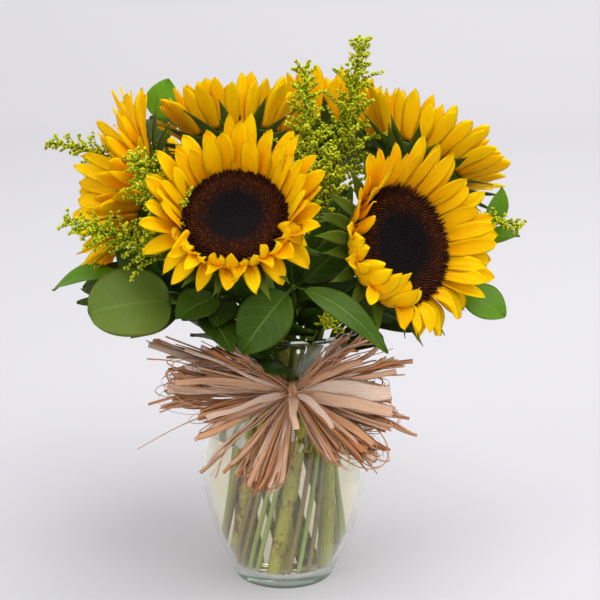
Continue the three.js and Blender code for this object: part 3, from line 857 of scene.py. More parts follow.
# %% Floret maker
GOLDEN_ANGLE = math.pi * (3 - math.sqrt(5))
FLORETS = [1450, 1450, 800, 450, 450, 450, 450]
FULL_DISC = 1400  # a disc with fewer florets has wider ones
FLORET_RINGS = [(-0.9, 1.0), (0.35, 1.12), (0.8, 0.5)]  # height and radius, as shares of a floret's own


def disc_height(share):
    """Height of the florets' bed at a share of the disc's radius."""
    return DISC_TOP - 2.2 + 3.4 * np.sin(math.pi * share**1.7)


def disc_florets(number, head):
    """All florets of a disc as one chunk: five-sided cones, blunt in the middle and tall at the edge."""
    draw = np.random.default_rng(200 + number)
    count = FLORETS[number]
    k = np.arange(count)
    share = np.sqrt((k + 0.5) / count)
    angle = k * GOLDEN_ANGLE
    old = np.clip((share - 0.55) / 0.45, 0, 1)
    fringe = np.clip((share - 0.84) / 0.16, 0, 1)
    tall = 0.8 + 1.9 * old + 2.4 * fringe + draw.uniform(-0.3, 0.5, count) * (0.2 + old + fringe)
    wide = (0.95 + 0.15 * old - 0.25 * fringe) * math.sqrt(FULL_DISC / count)
    lean = 0.08 + 0.7 * fringe + draw.uniform(-0.2, 0.2, count) * (0.3 + old)
    radial = np.stack([np.cos(angle), np.sin(angle), np.zeros(count)], axis=1)
    aside = np.stack([-np.sin(angle), np.cos(angle), np.zeros(count)], axis=1)
    sideways = aside * draw.uniform(-0.2, 0.2, (count, 1)) * (0.3 + old)[:, None]
    axis = unit(radial * np.sin(lean)[:, None] + UP * np.cos(lean)[:, None] + sideways)
    base = radial * (share * (head.disc - 1.0))[:, None] + UP * disc_height(share)[:, None]
    ring = circles(aside, np.cross(axis, aside), 5)
    rings = [
        base[:, None] + axis[:, None] * (h * tall)[:, None, None] + ring * (w * wide)[:, None, None]
        for h, w in FLORET_RINGS
    ]
    tips = base + axis * (tall * 1.08)[:, None]
    return grains(rings, tips, base - axis * 1.2, [0.0, 0.5, 0.85], share, draw.random(count))


print("florets in all:", sum(FLORETS))

# %% Discs


def disc_bed(head):
    """The solid that the florets stand out of."""
    share = np.linspace(1, 0, 14)
    top = np.stack([share * (head.disc - 1.5), disc_height(share) - 0.5], axis=1)
    profile = np.concatenate([[[0, RING_BASE], [head.disc - 3, RING_BASE]], top])
    made = turned(profile, 40)
    made["across"] = np.linalg.norm(made["points"][:, :2], axis=1) / head.disc
    return made


discs = [[head.turn(disc_bed(head)), head.turn(disc_florets(n, head))] for n, head in enumerate(heads)]
print("discs:", len(discs), "each with a bed under its florets")

# %% [markdown]
# Disc finish
#
# The middle is nearly black with a cold sheen, because its buds are smooth. Outside it a ring of dark
# red-brown leads to the warm brown tips of the fringe. The share of the radius that each floret carries
# picks its zone.

# %% Disc material
disc = Finish("sunflower_disc", Roughness=0.7, Specular_IOR_Level=0.12)
along, zone, seed = (disc.number(name) for name in NUMBERS)
wobble = disc.math("ADD", zone, disc.math("MULTIPLY_ADD", seed, 0.09, -0.045))
bed = disc.ramp(wobble, [
    (0.0, srgb(10, 8, 13)), (0.5, srgb(13, 9, 13)), (0.62, srgb(27, 11, 5)), (0.8, srgb(34, 14, 5)),
    (1.0, srgb(22, 9, 4)),
])
tip = disc.ramp(wobble, [
    (0.0, srgb(18, 14, 18)), (0.5, srgb(22, 14, 16)), (0.62, srgb(50, 21, 7)), (0.82, srgb(74, 32, 8)),
    (1.0, srgb(44, 18, 6)),
])
some, outside = disc.ramp(seed, [(0.72, 0.0), (0.9, 0.6)]), disc.ramp(zone, [(0.5, 0.0), (0.7, 1.0)])
tip = disc.mix(disc.math("MULTIPLY", some, outside), tip, srgb(118, 60, 14))
disc.link(disc.paint(tip, bed, along, [(0.3, 0.0), (1.0, 1.0)]), "Base Color")
disc.bump(disc.noise(disc.spot(), 2600.0), 0.4, 0.0003)

pieces("sunflower_{}_florets", discs, disc, "sunflower_{}_disc")

# %% [markdown]
# Green heads, bracts and stems
#
# Below the petals sits the green cup with its bracts: broad at the root, drawn out to a thread at the
# tip, and hairy. The stem under it is ribbed and thickens towards the head. Cut stems in water lose
# their leaves and keep the scars as small knots.

# %% One bract


def bract(draw, angle, radius, height, length, width, first, last):
    """One pointed bract. first and last are its steepness at the root and the tip, in degrees."""
    t = np.linspace(0, 1, PETAL_ROWS)
    steep = np.radians(first + (last - first) * t)
    heading = angle + draw.uniform(-0.25, 0.25) * t
    points, face = lean_out(angle, radius, height, heading, steep, length, np.radians(first))
    share = np.maximum((1 - t) ** 0.9 * (0.55 + 1.6 * t * (1 - t) * 1.4), 0.03)
    wave = draw.uniform(0, 6)

    def lift(t, u):
        return 0.9 * np.abs(u) * (1 - t) + 0.5 * u * np.sin(6 * t + wave) * t

    twist = np.radians(draw.uniform(-30, 30)) * t
    return blade(points, face, width * share, lift, 0.6, PETAL_COLUMNS, twist, seed=0.97 * draw.random())


test_bract = bract(random.Random(1), 0.0, 20, 0.0, 30, 6, 20, 10)
print("a bract of 30 mm reaches", round(float(test_bract["points"][:, 0].max()) - 20, 1), "mm out")

# %% Green heads
BRACT_ROWS = [
    {"count": 15, "inside": 3, "height": -4.5, "steep": 20, "spread": 14},
    {"count": 13, "inside": 8, "height": -7.5, "steep": 4, "spread": 20},
]


def green_head(number, head):
    """The cup under a head, on top of its stem, and two rows of bracts."""
    draw = random.Random(300 + number)
    under, edge = -HEAD_DEPTH - 2, head.disc
    cup = np.array([
        [0, under], [STEM_RADIUS + 0.4, under], [STEM_RADIUS + 1.6, -20], [edge * 0.3, -15],
        [edge * 0.6, -10.5], [edge * 0.85, -6], [edge, -2.5], [edge + 0.5, -0.6], [edge - 1, 0.2], [0, 0.2],
    ])
    chunks = [turned(cup, 40)]
    for lower, row in enumerate(BRACT_ROWS):
        for k in range(row["count"]):
            angle = 2 * math.pi * (k + 0.5 * lower + draw.uniform(-0.28, 0.28)) / row["count"]
            length = draw.uniform(31, 42) * (1 - 0.12 * lower)
            first = row["steep"] + draw.uniform(-7, 7)
            last = first + draw.uniform(-1.3, 0.7) * row["spread"]
            radius, width = edge - row["inside"], draw.uniform(5.5, 7.5)
            chunks.append(bract(draw, angle, radius, row["height"], length, width, first, last))
    return [head.turn(chunk) for chunk in chunks]


green_heads = [green_head(n, head) for n, head in enumerate(heads)]
print("bracts on a head:", len(green_heads[0]) - 1)

# %% Thick stems
THICK_STEM_ROWS, SCARS = 64, 4


def green_stem(number, head):
    """A ribbed stem that thickens towards the head and swells a little at each scar of a leaf."""
    draw = random.Random(400 + number)
    end = head.out(np.array([0, 0, -HEAD_DEPTH]))
    line, _ = stem_line(head.ring, head.angle, end, head.way, 0.42)
    line, length = spread_evenly(line, THICK_STEM_ROWS)
    t = np.linspace(0, 1, THICK_STEM_ROWS)
    radius = STEM_RADIUS * (0.93 + 0.12 * t**3)
    for _ in range(SCARS):
        where = draw.uniform(0.03, 0.5)
        radius = radius + 0.5 * np.exp(-(((t - where) * length / 3.0) ** 2))
    return rod(line, radius, 24, ribs=0.035, rib_count=8, seed=1 + draw.random())


greens = [green_heads[n] + [green_stem(n, head)] for n, head in enumerate(heads)]
print("heads with a thick stem:", len(greens))

# %% [markdown]
# Green finish
#
# One finish dresses cup, bracts and stem, because they grow into each other. Seeds below 1 are bracts,
# each in its own green, and seeds from 1 are stems. A stem is pale yellow-green in the water with darker
# stripes and brown scars, pale at its cut end, and greener up in the bouquet. The paleness in the water
# is partly the stem's own colour and partly painted light, for the light that reaches it all round in
# the vase.

# %% Green material
green = Finish(
    "sunflower_green", Roughness=0.6, Specular_IOR_Level=0.12,
    Subsurface_Weight=0.12, Subsurface_Scale=0.002,
)
along, across, seed = (green.number(name) for name in NUMBERS)
mottle = green.noise(green.spot(), 90.0, 4.0)
stripe_place = green.place(green.math("MULTIPLY", across, 5.0), green.math("MULTIPLY", along, 14.0), seed)
stripes = green.noise(stripe_place, 3.0)
hue = green.ramp(seed, [(0.0, srgb(44, 70, 10)), (0.97, srgb(82, 102, 26))])
color = green.paint(srgb(100, 118, 40), hue, mottle, [(0.35, 0.0), (0.75, 0.4)])
# Painted light in part: low in the vase the stem is lighter than its own green, for the light that reaches
# it there.
stalk = green.ramp(green.math("SUBTRACT", seed, 1.0), [
    (0.0, srgb(130, 164, 22)), (0.45, srgb(164, 176, 54)), (1.0, srgb(190, 176, 88)),
])
stalk = green.paint(srgb(92, 106, 12), stalk, stripes, [(0.4, 0.0), (0.7, 0.7)])
scars = green.ramp(green.noise(green.spot(), 48.0, 6.0, 0.7), [(0.54, 0.0), (0.6, 0.85)])
stalk = green.mix(scars, stalk, srgb(110, 74, 40))
stalk = green.paint(srgb(232, 226, 196), stalk, along, [(0.0, 1.0), (0.012, 0.0)])
stalk = green.paint(srgb(92, 126, 40), stalk, along, [(0.5, 0.0), (0.75, 1.0)])
green.link(green.mix(green.math("GREATER_THAN", seed, 0.995), color, stalk), "Base Color")
green.bump(green.noise(green.spot(), 1400.0, 2.0), 0.35, 0.0004)

pieces("sunflower_{}_green", greens, green, "sunflower_{}_stem")

# %% [markdown]
# Goldenrod
#
# A goldenrod plume is a spire of arching side branches, long below and short above, each with small
# flower heads along its upper side. From a step away it is a yellow-green haze with grains in it. Buds
# of sixteen triangles are enough for that, as long as there are many. Of each stem, the list says where
# its top is and which way it points, at what angle it stands in the neck, and how long and how full its
# plume is.

# %% Where goldenrod stands
GOLDENRODS = [
    {"at": (58, 20, 421), "azimuth": 150, "elevation": 80, "angle": 46, "plume": 135, "full": 1.05},
    {"at": (16, 0, 402), "azimuth": 200, "elevation": 76, "angle": 57, "plume": 110, "full": 1.1},
    {"at": (32, -46, 350), "azimuth": 20, "elevation": 80, "angle": 284, "plume": 90, "full": 1.15},
    {"at": (-186, 80, 333), "azimuth": -103, "elevation": 4, "angle": 148, "plume": 60},
    {"at": (-104, -80, 352), "azimuth": -50, "elevation": 64, "angle": 208.5, "plume": 95, "full": 1.4},
    {"at": (-154, -78, 305), "azimuth": -80, "elevation": 16, "angle": 218, "plume": 85, "full": 1.15},
    {"at": (178, -14, 287), "azimuth": 85, "elevation": -14, "angle": 342, "plume": 40},
    {"at": (38, -97, 243), "azimuth": 8, "elevation": 26, "angle": 294, "plume": 45},
    {"at": (-10, 168, 322), "azimuth": 182, "elevation": 40, "angle": 100, "plume": 70},
]
plume_lengths = [stem["plume"] for stem in GOLDENRODS]
print("the plumes are", min(plume_lengths), "to", max(plume_lengths), "mm long")

# %% Buds
BUD_RINGS = [(0.25, 0.42), (0.85, 0.4)]  # height and radius, as shares of a bud's size


def buds(bases, ways, sizes, draw):
    """Many four-sided buds as one chunk: a narrow base, a round middle and a point."""
    count = len(bases)
    ways = unit(ways)
    aside = unit(np.cross(ways, SIDEWAYS + draw.uniform(-0.3, 0.3, (count, 3))))
    ring = circles(aside, np.cross(ways, aside), 4)
    rings = [bases[:, None] + (ways[:, None] * h + ring * w) * sizes[:, None, None] for h, w in BUD_RINGS]
    tips = bases + ways * (sizes * 1.2)[:, None]
    return grains(rings, tips, bases, [0.3, 0.85], np.ones(count), draw.random(count))


test_buds = buds(test_axes, test_axes, np.ones(2), np.random.default_rng(1))
points_of_bud = len(test_buds["points"]) // 2
print("a bud has", points_of_bud, "points")

# %% Tufts of buds
BUDS_IN_TUFT = 5


def tufts(twig, axis, draw):
    """Places, ways and sizes of the buds on a twig, in tufts that each burst from one place above it."""
    grow = unit(np.gradient(twig, axis=0))
    places = twig[1:] + axis * 0.6 + draw.normal(0, 0.5, (len(twig) - 1, 3))
    bursts = np.repeat(places, BUDS_IN_TUFT, axis=0)
    ways = draw.normal(0, 0.75, bursts.shape) + axis * 0.5 + np.repeat(grow[1:], BUDS_IN_TUFT, axis=0) * 0.3
    return bursts + draw.normal(0, 0.2, bursts.shape), ways, draw.uniform(1.4, 2.6, len(bursts))


print("a line of five points carries", len(tufts(test_line, UP, np.random.default_rng(1))[0]), "buds")

# %% Grow the plumes
THIN_STEM_ROWS = 70
FINE_ROWS = 200
TWIG_ROWS = 9
TWIG_STEP, TUFT_STEP = 1.75, 2.5


def goldenrod(number, at, azimuth, elevation, angle, plume, full=1.0):
    """A thin stem, the arching twigs of its plume and all their buds."""
    draw = np.random.default_rng(500 + number)
    line, above = stem_line(TWIG_RING, angle, np.array(at, float), facing(azimuth, elevation), 0.4)
    above, whole = spread_evenly(above, FINE_ROWS)
    tangents = unit(np.gradient(above, axis=0))
    line, _ = spread_evenly(line, THIN_STEM_ROWS)
    taper = np.minimum(TWIG_RADIUS, 0.5 + 3 * (1 - np.linspace(0, 1, THIN_STEM_ROWS)))
    chunks = [rod(line, taper, 8, seed=1.0)]
    chunks[0]["across"][:] = 0
    all_tufts = []
    count = int(full * plume / TWIG_STEP)
    for k in range(count):
        up = k / count
        index = int((FINE_ROWS - 1) * (1 - plume * (1 - up) / whole))
        axis = tangents[index]
        length = max(8.0, 0.41 * full * plume * (1 - 0.78 * up)) * draw.uniform(0.45, 1.08)
        side = turn_about(unit(np.cross(axis, SIDEWAYS)), axis, np.array(GOLDEN_ANGLE * k + number))
        off = np.radians(np.linspace(22, 70 + draw.uniform(-14, 16), TWIG_ROWS))[:, None]
        steps = (axis * np.cos(off) + side * np.sin(off)) * length / (TWIG_ROWS - 1)
        twig = above[index] + walk(steps)
        chunks.append(rod(twig, np.linspace(0.5, 0.25, TWIG_ROWS), 4))
        twig, _ = spread_evenly(twig, max(4, int(length / TUFT_STEP) + 1))
        all_tufts.append(tufts(twig, axis, draw))
    chunks.append(buds(*(np.concatenate(part) for part in zip(*all_tufts)), draw))
    return chunks


plumes = [goldenrod(n, **stem) for n, stem in enumerate(GOLDENRODS)]
print("buds:", [len(chunks[-1]["points"]) // points_of_bud for chunks in plumes])

# %% [markdown]
# Goldenrod finish
#
# A bud is green at its root and pale yellow at its tip, and some buds are younger and greener than
# others. So two ramps are mixed, one that reads the place on the bud and one that reads its seed. The
# stem is plain green, a little paler low in the vase: that paleness is partly its own colour and partly
# painted light, for the light that reaches it all round in the vase. A twig is green on one side and
# coloured like the buds on the other.

# %% Goldenrod material
plume = Finish(
    "goldenrod", Roughness=0.6, Specular_IOR_Level=0.06, Subsurface_Weight=0.15, Subsurface_Scale=0.0015,
)
along, of_bud, seed = (plume.number(name) for name in NUMBERS)
bud_color = plume.ramp(along, [
    (0.0, srgb(46, 80, 2)), (0.5, srgb(118, 146, 2)),
    (0.85, srgb(198, 206, 20)), (1.0, srgb(238, 232, 100)),
])
young = plume.ramp(seed, [(0.0, srgb(62, 100, 2)), (1.0, srgb(222, 216, 24))])
bud_color = plume.mix(0.45, bud_color, young)
# Painted light in part: the stem is paler low in the vase, for the light that reaches it there.
low_part = plume.ramp(along, [(0.3, 1.0), (0.5, 0.0)])
low_stem = plume.math("MULTIPLY", low_part, seed)
stalk = plume.mix(low_stem, srgb(78, 108, 26), srgb(150, 166, 84))
color = plume.mix(of_bud, stalk, bud_color)
plume.link(color, "Base Color")
plume.bump(plume.noise(plume.spot(), 1500.0), 0.5, 0.0004)

pieces("goldenrod_{}_plume", plumes, plume, "goldenrod_{}")

# %% [markdown]
# Lemon leaf
#
# Lemon leaf is salal: broad leathery leaves on a thin stem, with a pale sunken midrib, side veins that
# loop together before the edge, and a satin face. Every leaf that the photograph shows is listed: where
# on its stem it starts, where its tip is, its half width, the way that its face looks, how much it
# arches and its lightness, which is partly its own tone and partly painted light and shade. The dark
# collar between them is filled with small leaves that are drawn, painted nearly black as shade.

# %% Where the leaves are
OVAL, ROUND = (0.12, 0.75), (0.03, 0.5)
LEMON_LEAVES = [
    {"at": (-82, -70, 243), "azimuth": -60, "elevation": 10, "angle": 228, "leaves": [
        {
            "from": 1, "tip": (-140, -84, 238), "wide": 28.5, "looks": (-8, 42), "arch": 6, "lightness": 1.0,
            "form": ROUND,
        },
        {"from": 0.9, "tip": (-152, -58, 238), "wide": 10, "looks": (-40, 50), "arch": 3},
        {"from": 0.86, "tip": (-113, -53, 210), "wide": 10, "looks": (23, 50), "arch": 5},
        {"from": 0.78, "tip": (-35, -119, 219), "wide": 12, "looks": (-1, 59), "arch": 4},
    ]},
    {"at": (-120, -52, 257), "azimuth": -75, "elevation": 12, "angle": 199, "leaves": [
        {"from": 0.97, "tip": (-173, -29, 240), "wide": 12, "looks": (-60, 60), "arch": 9, "lightness": 0.66},
        {"from": 0.38, "tip": (-87, -35, 262), "wide": 17, "looks": (-14, 11), "arch": 4},
        {"from": 0.75, "tip": (-124, -36, 274), "wide": 12, "looks": (-25, 20), "arch": 4},
        {"from": 0.5, "tip": (-103, -42, 276), "wide": 13, "looks": (-20, 15), "arch": 4},
        {"from": 0.84, "tip": (-152, -18, 239), "wide": 15, "looks": (-10, 45), "arch": 7},
    ]},
    {"at": (8, -98, 262), "azimuth": 0, "elevation": 10, "angle": 273, "leaves": [
        {"from": 1, "tip": (74, -124, 220), "wide": 10, "looks": (10, 50), "arch": 14, "lightness": 0.3},
        {"from": 0.98, "tip": (-29, -104, 215), "wide": 19, "looks": (-15, 20), "arch": 6, "lightness": 0.25},
        {"from": 0.82, "tip": (57, -49, 294), "wide": 13, "looks": (48, 23), "arch": 3},
        {"from": 0.8, "tip": (50, -36, 322), "wide": 13, "looks": (30, 14), "arch": 3},
        {"from": 0.62, "tip": (6, -60, 276), "wide": 13, "looks": (-4, 14), "arch": 4},
        {"from": 0.55, "tip": (30, -50, 268), "wide": 13, "looks": (16, 18), "arch": 4},
        {"from": 0.4, "tip": (59, -36, 251), "wide": 16, "looks": (33, 27), "arch": 3},
    ]},
    {"at": (-45, -70, 246), "azimuth": -30, "elevation": 10, "angle": 262, "leaves": [
        {"from": 1, "tip": (-76, -92, 236), "wide": 15, "looks": (0, 60), "arch": 5},
        {"from": 0.9, "tip": (-50, -98, 232), "wide": 12, "looks": (5, 50), "arch": 4},
        {"from": 0.8, "tip": (-38, -62, 262), "wide": 12, "looks": (-8, 20), "arch": 3},
        {"from": 0.6, "tip": (-16, -66, 256), "wide": 13, "looks": (-6, 22), "arch": 4},
        {"from": 0.8, "tip": (-62, -52, 274), "wide": 12, "looks": (-10, 15), "arch": 3},
    ]},
    {"at": (132, -28, 237), "azimuth": 70, "elevation": 8, "angle": 331, "leaves": [
        {"from": 1, "tip": (166, -38, 222), "wide": 16, "looks": (20, 50), "arch": 5, "lightness": 0.64},
    ]},
    {"at": (150, 16, 272), "azimuth": 80, "elevation": 40, "angle": 354, "leaves": [
        {"from": 1, "tip": (167, 18, 310), "wide": 12, "looks": (50, 10), "arch": 5, "lightness": 0.75},
        {"from": 0.94, "tip": (181, 4, 274), "wide": 10, "looks": (20, 60), "arch": 4, "lightness": 0.5},
        {"from": 0.38, "tip": (102, -14, 204), "wide": 14, "looks": (-18, 45), "arch": 7},
    ]},
    {"at": (-98, 98, 345), "azimuth": -160, "elevation": 70, "angle": 162, "leaves": [
        {"from": 1, "tip": (-94, 106, 380), "wide": 14, "looks": (-20, 10), "arch": 4, "lightness": 0.75},
        {"from": 0.92, "tip": (-111, 123, 344), "wide": 15, "looks": (11, 34), "arch": 8},
    ]},
    {"at": (10, 108, 268), "azimuth": 175, "elevation": 30, "angle": 92, "leaves": [
        {"from": 1, "tip": (30, 150, 262), "wide": 17, "looks": (170, 60), "arch": 8},
        {"from": 0.85, "tip": (-18, 128, 240), "wide": 15, "looks": (200, 50), "arch": 7},
        {"from": 0.98, "tip": (53, 160, 250), "wide": 16, "looks": (49, 21), "arch": 3},
    ]},
]
print("listed leaves:", sum(len(stem["leaves"]) for stem in LEMON_LEAVES))

# %% Leaf maker
LEAF_GRID = (28, 15)  # rows and columns
RIB_DEPTH, VEIN_DEPTH = 0.45, 0.14


def leaf_outline(t, form):
    """Half width along a leaf, as a share of its widest: the form's stalk, and then a broad oval."""
    stalk, fullness = form
    inside = np.clip((t - stalk) / (1 - stalk), 0, 1)
    body = np.sin(math.pi * inside**0.8) ** fullness
    return np.maximum(body + 0.06 * (inside > 0), 0.07)


def leaf_blade(draw, start, tip, wide, looks, arch, lightness=None, form=OVAL, grid=LEAF_GRID):
    """One leaf, whose lift follows its veins, its fold along the midrib and its wavy edge."""
    start, end = np.array(start, float), np.array(tip, float)
    face = facing(*looks)
    points = quadratic(start, (start + end) / 2 + 2 * arch * face, end, grid[0])
    t = np.linspace(0, 1, grid[0])
    wave, phase = draw.uniform(0.5, 1.3), draw.uniform(0, 6)

    def lift(t, u):
        inside, off_rib = np.clip((t - form[0]) / (1 - form[0]), 0, 1), np.abs(u)
        rib = RIB_DEPTH * (1 - np.exp(-((u / 0.06) ** 2)))
        turns = 6 * inside - 1.7 * off_rib
        side_veins = VEIN_DEPTH * np.cos(2 * math.pi * turns) * (1 - off_rib) * inside
        fold = 0.12 * wide * off_rib
        edge = wave * u**2 * np.sin(9 * t + phase + 1.4 * np.sign(u))
        return (rib + side_veins + fold + edge) * (inside > 0)

    twist = np.radians(draw.uniform(-8, 8)) * t
    lightness = 0.45 * draw.random() if lightness is None else lightness
    return blade(points, face, wide * leaf_outline(t, form), lift, 0.55, grid[1], twist, seed=lightness)


widest = np.argmax(leaf_outline(np.linspace(0, 1, 101), OVAL))
print("an oval leaf is widest at", int(widest), "hundredths of its length")

# %% Inner leaves
INNER_LEAF_GRID = (20, 9)
INNER_LEAF_TURNS = [-40, 0, 42, -20, 24]


def inner_leaf(draw, start, turned_by):
    """One of the small leaves that fill the collar between its stems; their dark colour is painted shade.
    """
    azimuth = math.degrees(math.atan2(start[0], -start[1])) + turned_by
    tip = start + facing(azimuth, draw.uniform(8, 32)) * draw.uniform(38, 54)
    looks = (azimuth + draw.uniform(-30, 30), draw.uniform(25, 60))
    # A low lightness paints these leaves nearly black: painted shade in the collar of the bouquet.
    wide, lightness = draw.uniform(12, 16), 0.25 * draw.random()
    return leaf_blade(draw, start, tip, wide, looks, 5, lightness, OVAL, INNER_LEAF_GRID)


print("inner leaves on a stem:", len(INNER_LEAF_TURNS))

# %% Grow the leafy stems


def lemon_leaf(number, at, azimuth, elevation, angle, leaves):
    """A thin stem with its listed leaves, and small drawn ones lower down."""
    draw = random.Random(600 + number)
    line, above = stem_line(TWIG_RING, angle, np.array(at, float), facing(azimuth, elevation), 0.4)
    above, _ = spread_evenly(above, 101)
    line, _ = spread_evenly(line, THIN_STEM_ROWS)
    chunks = [rod(line, TWIG_RADIUS, 10, seed=-1.0)]
    for leaf in leaves:
        start = above[int(round(100 * leaf["from"]))]
        shape = {key: value for key, value in leaf.items() if key != "from"}
        chunks.append(leaf_blade(draw, start, **shape))
    for k, turned_by in enumerate(INNER_LEAF_TURNS):
        chunks.append(inner_leaf(draw, above[16 + 12 * k], turned_by + draw.uniform(-12, 12)))
    return chunks


leafy = [lemon_leaf(n, **stem) for n, stem in enumerate(LEMON_LEAVES)]
print("leaves:", sum(len(chunks) - 1 for chunks in leafy))

# %% [markdown]
# Leaf finish
#
# A leaf's seed is its lightness. Leaves out in the light are light green, partly by their own tone and
# partly as painted light, and the ones inside are painted nearly black, as painted shade. The midrib and
# the side veins are painted from the same numbers that raise them in the shape, and a slow noise gives
# the patches that make one leaf differ from place to place. A stem has the seed -1, which picks the bark.

# %% Leaf material
leaf = Finish(
    "lemon_leaf", Roughness=0.45, Specular_IOR_Level=0.13, Subsurface_Weight=0.08, Subsurface_Scale=0.002,
)
along, across, lightness = (leaf.number(name) for name in NUMBERS)
from_rib = leaf.math("ABSOLUTE", across)
patches = leaf.noise(leaf.spot(), 45.0, 4.0)
# Lightness 0 is nearly black, painted shade for the leaves inside; the light end is partly painted light.
color = leaf.ramp(lightness, [
    (0.0, srgb(24, 44, 2)), (0.35, srgb(52, 80, 5)), (0.75, srgb(84, 132, 0)), (1.0, srgb(88, 108, 38)),
])
color = leaf.paint(srgb(86, 116, 34), color, patches, [(0.3, 0.0), (0.8, 0.3)])
veins = leaf.math("SINE", leaf.math("MULTIPLY_ADD", from_rib, -10.7, leaf.math("MULTIPLY", along, 42.8)))
color = leaf.paint(srgb(112, 138, 52), color, veins, [(0.9, 0.0), (1.0, 0.13)])
color = leaf.paint(srgb(104, 126, 50), color, from_rib, [(0.0, 0.6), (0.03, 0.4), (0.055, 0.0)])
bark = leaf.ramp(along, [(0.4, srgb(138, 122, 70)), (0.6, srgb(72, 92, 30))])
leaf.link(leaf.mix(leaf.math("LESS_THAN", lightness, -0.5), color, bark), "Base Color")
leaf.bump(leaf.noise(leaf.spot(), 700.0), 0.25, 0.0004)

pieces("lemon_leaf_{}_leaves", leafy, leaf, "lemon_leaf_{}")

# %% [markdown]
# Raffia
#
# Raffia is torn palm leaf: flat dry ribbons of very different widths, torn into strips, all with fine
# fibres along them. A bundle is wound round the neck and tied in a bow. Every loop and tail of the
# model is drawn here as a sheaf of many ribbons that run side by side from the knot. Of each sheaf, the
# list says where it reaches to, how far it opens or bows, how far its ribbons spread and how many they
# are. In a loop, a ribbon's flat face always looks out of the loop, so it turns over at the far end.

# %% Places of the bow's strips
BAND = {"bottom": 153.0, "top": 174.0, "thickness": 3.2}
KNOT_AT, KNOT_SIZE = np.array([7.0, -49.0, 167.0]), np.array([9.0, 6.5, 12.0])
LOOPS = [
    {"to": (-76, -66, 186), "open": 15, "spread": (14, 5, 10), "count": 32},
    {"to": (-86, -64, 168), "open": 22, "spread": (10, 5, 8), "count": 20, "threads": 0.8},
    {"to": (-64, -78, 150), "open": 12, "spread": (10, 5, 9), "count": 20},
    {"to": (74, -74, 178), "open": 12, "spread": (8, 5, 8), "count": 20},
    {"to": (80, -72, 152), "open": 14, "spread": (5, 5, 10), "count": 34, "threads": 0.5},
    {"to": (66, -82, 126), "open": 15, "spread": (13, 5, 7), "count": 52, "threads": 0.4},
    {"to": (46, -86, 122), "open": 12, "spread": (10, 5, 6), "count": 20},
    {"to": (-16, -90, 102), "open": 14, "spread": (15, 4, 3), "count": 46, "threads": 0.4},
    {"to": (-34, -88, 112), "open": 12, "spread": (10, 4, 7), "count": 20},
    {"to": (-17, -90, 101), "open": 26, "spread": (4, 2, 2), "count": 6, "threads": 1.0},
    {"to": (-84, -66, 176), "open": 30, "spread": (8, 3, 6), "count": 6, "threads": 1.0},
    {"to": (88, -70, 152), "open": 26, "spread": (4, 3, 6), "count": 5, "threads": 1.0},
    {"to": (70, -82, 122), "open": 26, "spread": (6, 3, 4), "count": 7, "threads": 1.0},
]
TAILS = [
    {"to": (-92, -54, 204), "wide": 1.8, "bow": 4, "spread": (9, 6, 7), "count": 13},
    {"to": (-109, -62, 127), "wide": 1.4, "bow": 12, "spread": (0, 0, 0), "count": 1, "curl": 0.2},
    {"to": (-94, -64, 164), "wide": 2.0, "bow": 6, "spread": (7, 5, 8), "count": 6},
    {"to": (-60, -84, 116), "wide": 2.0, "bow": 5, "spread": (6, 4, 6), "count": 4},
    {"to": (-22, -88, 110), "wide": 2.4, "bow": 4, "spread": (16, 3, 8), "count": 4},
    {"to": (68, -82, 120), "wide": 2.0, "bow": 5, "spread": (12, 3, 6), "count": 3},
    {"to": (97, -60, 146), "wide": 2.4, "bow": 7, "spread": (6, 5, 6), "count": 4},
    {"to": (82, -70, 196), "wide": 2.2, "bow": 5, "spread": (9, 6, 8), "count": 16},
    {"to": (58, -76, 216), "wide": 2.2, "bow": 4, "spread": (15, 5, 7), "count": 26},
    {"to": (-48, -70, 206), "wide": 2.2, "bow": 4, "spread": (22, 5, 8), "count": 20},
]
print("sheaves in loops and tails:", len(LOOPS), len(TAILS))

# %% Clear of the wall
WALL_CLEARANCE = 3.0


def off_vase(points):
    """Moves points out to where they clear the wall of the vase."""
    least = wall_radius(np.clip(points[:, 2], 5, VASE_HEIGHT - 1.5)) + WALL_CLEARANCE
    r = np.linalg.norm(points[:, :2], axis=1)
    grow = np.where(r < least, least / np.maximum(r, 1e-6), 1.0)
    return points * np.stack([grow, grow, np.ones_like(grow)], axis=1)


print("the bow hangs over a wall that reaches", round(float(wall_radius(97)), 1), "mm from the axis")

# %% One strip of raffia
FRONT = np.array([0.0, -1.0, 0.35])
STRIP_THICKNESS = 0.3


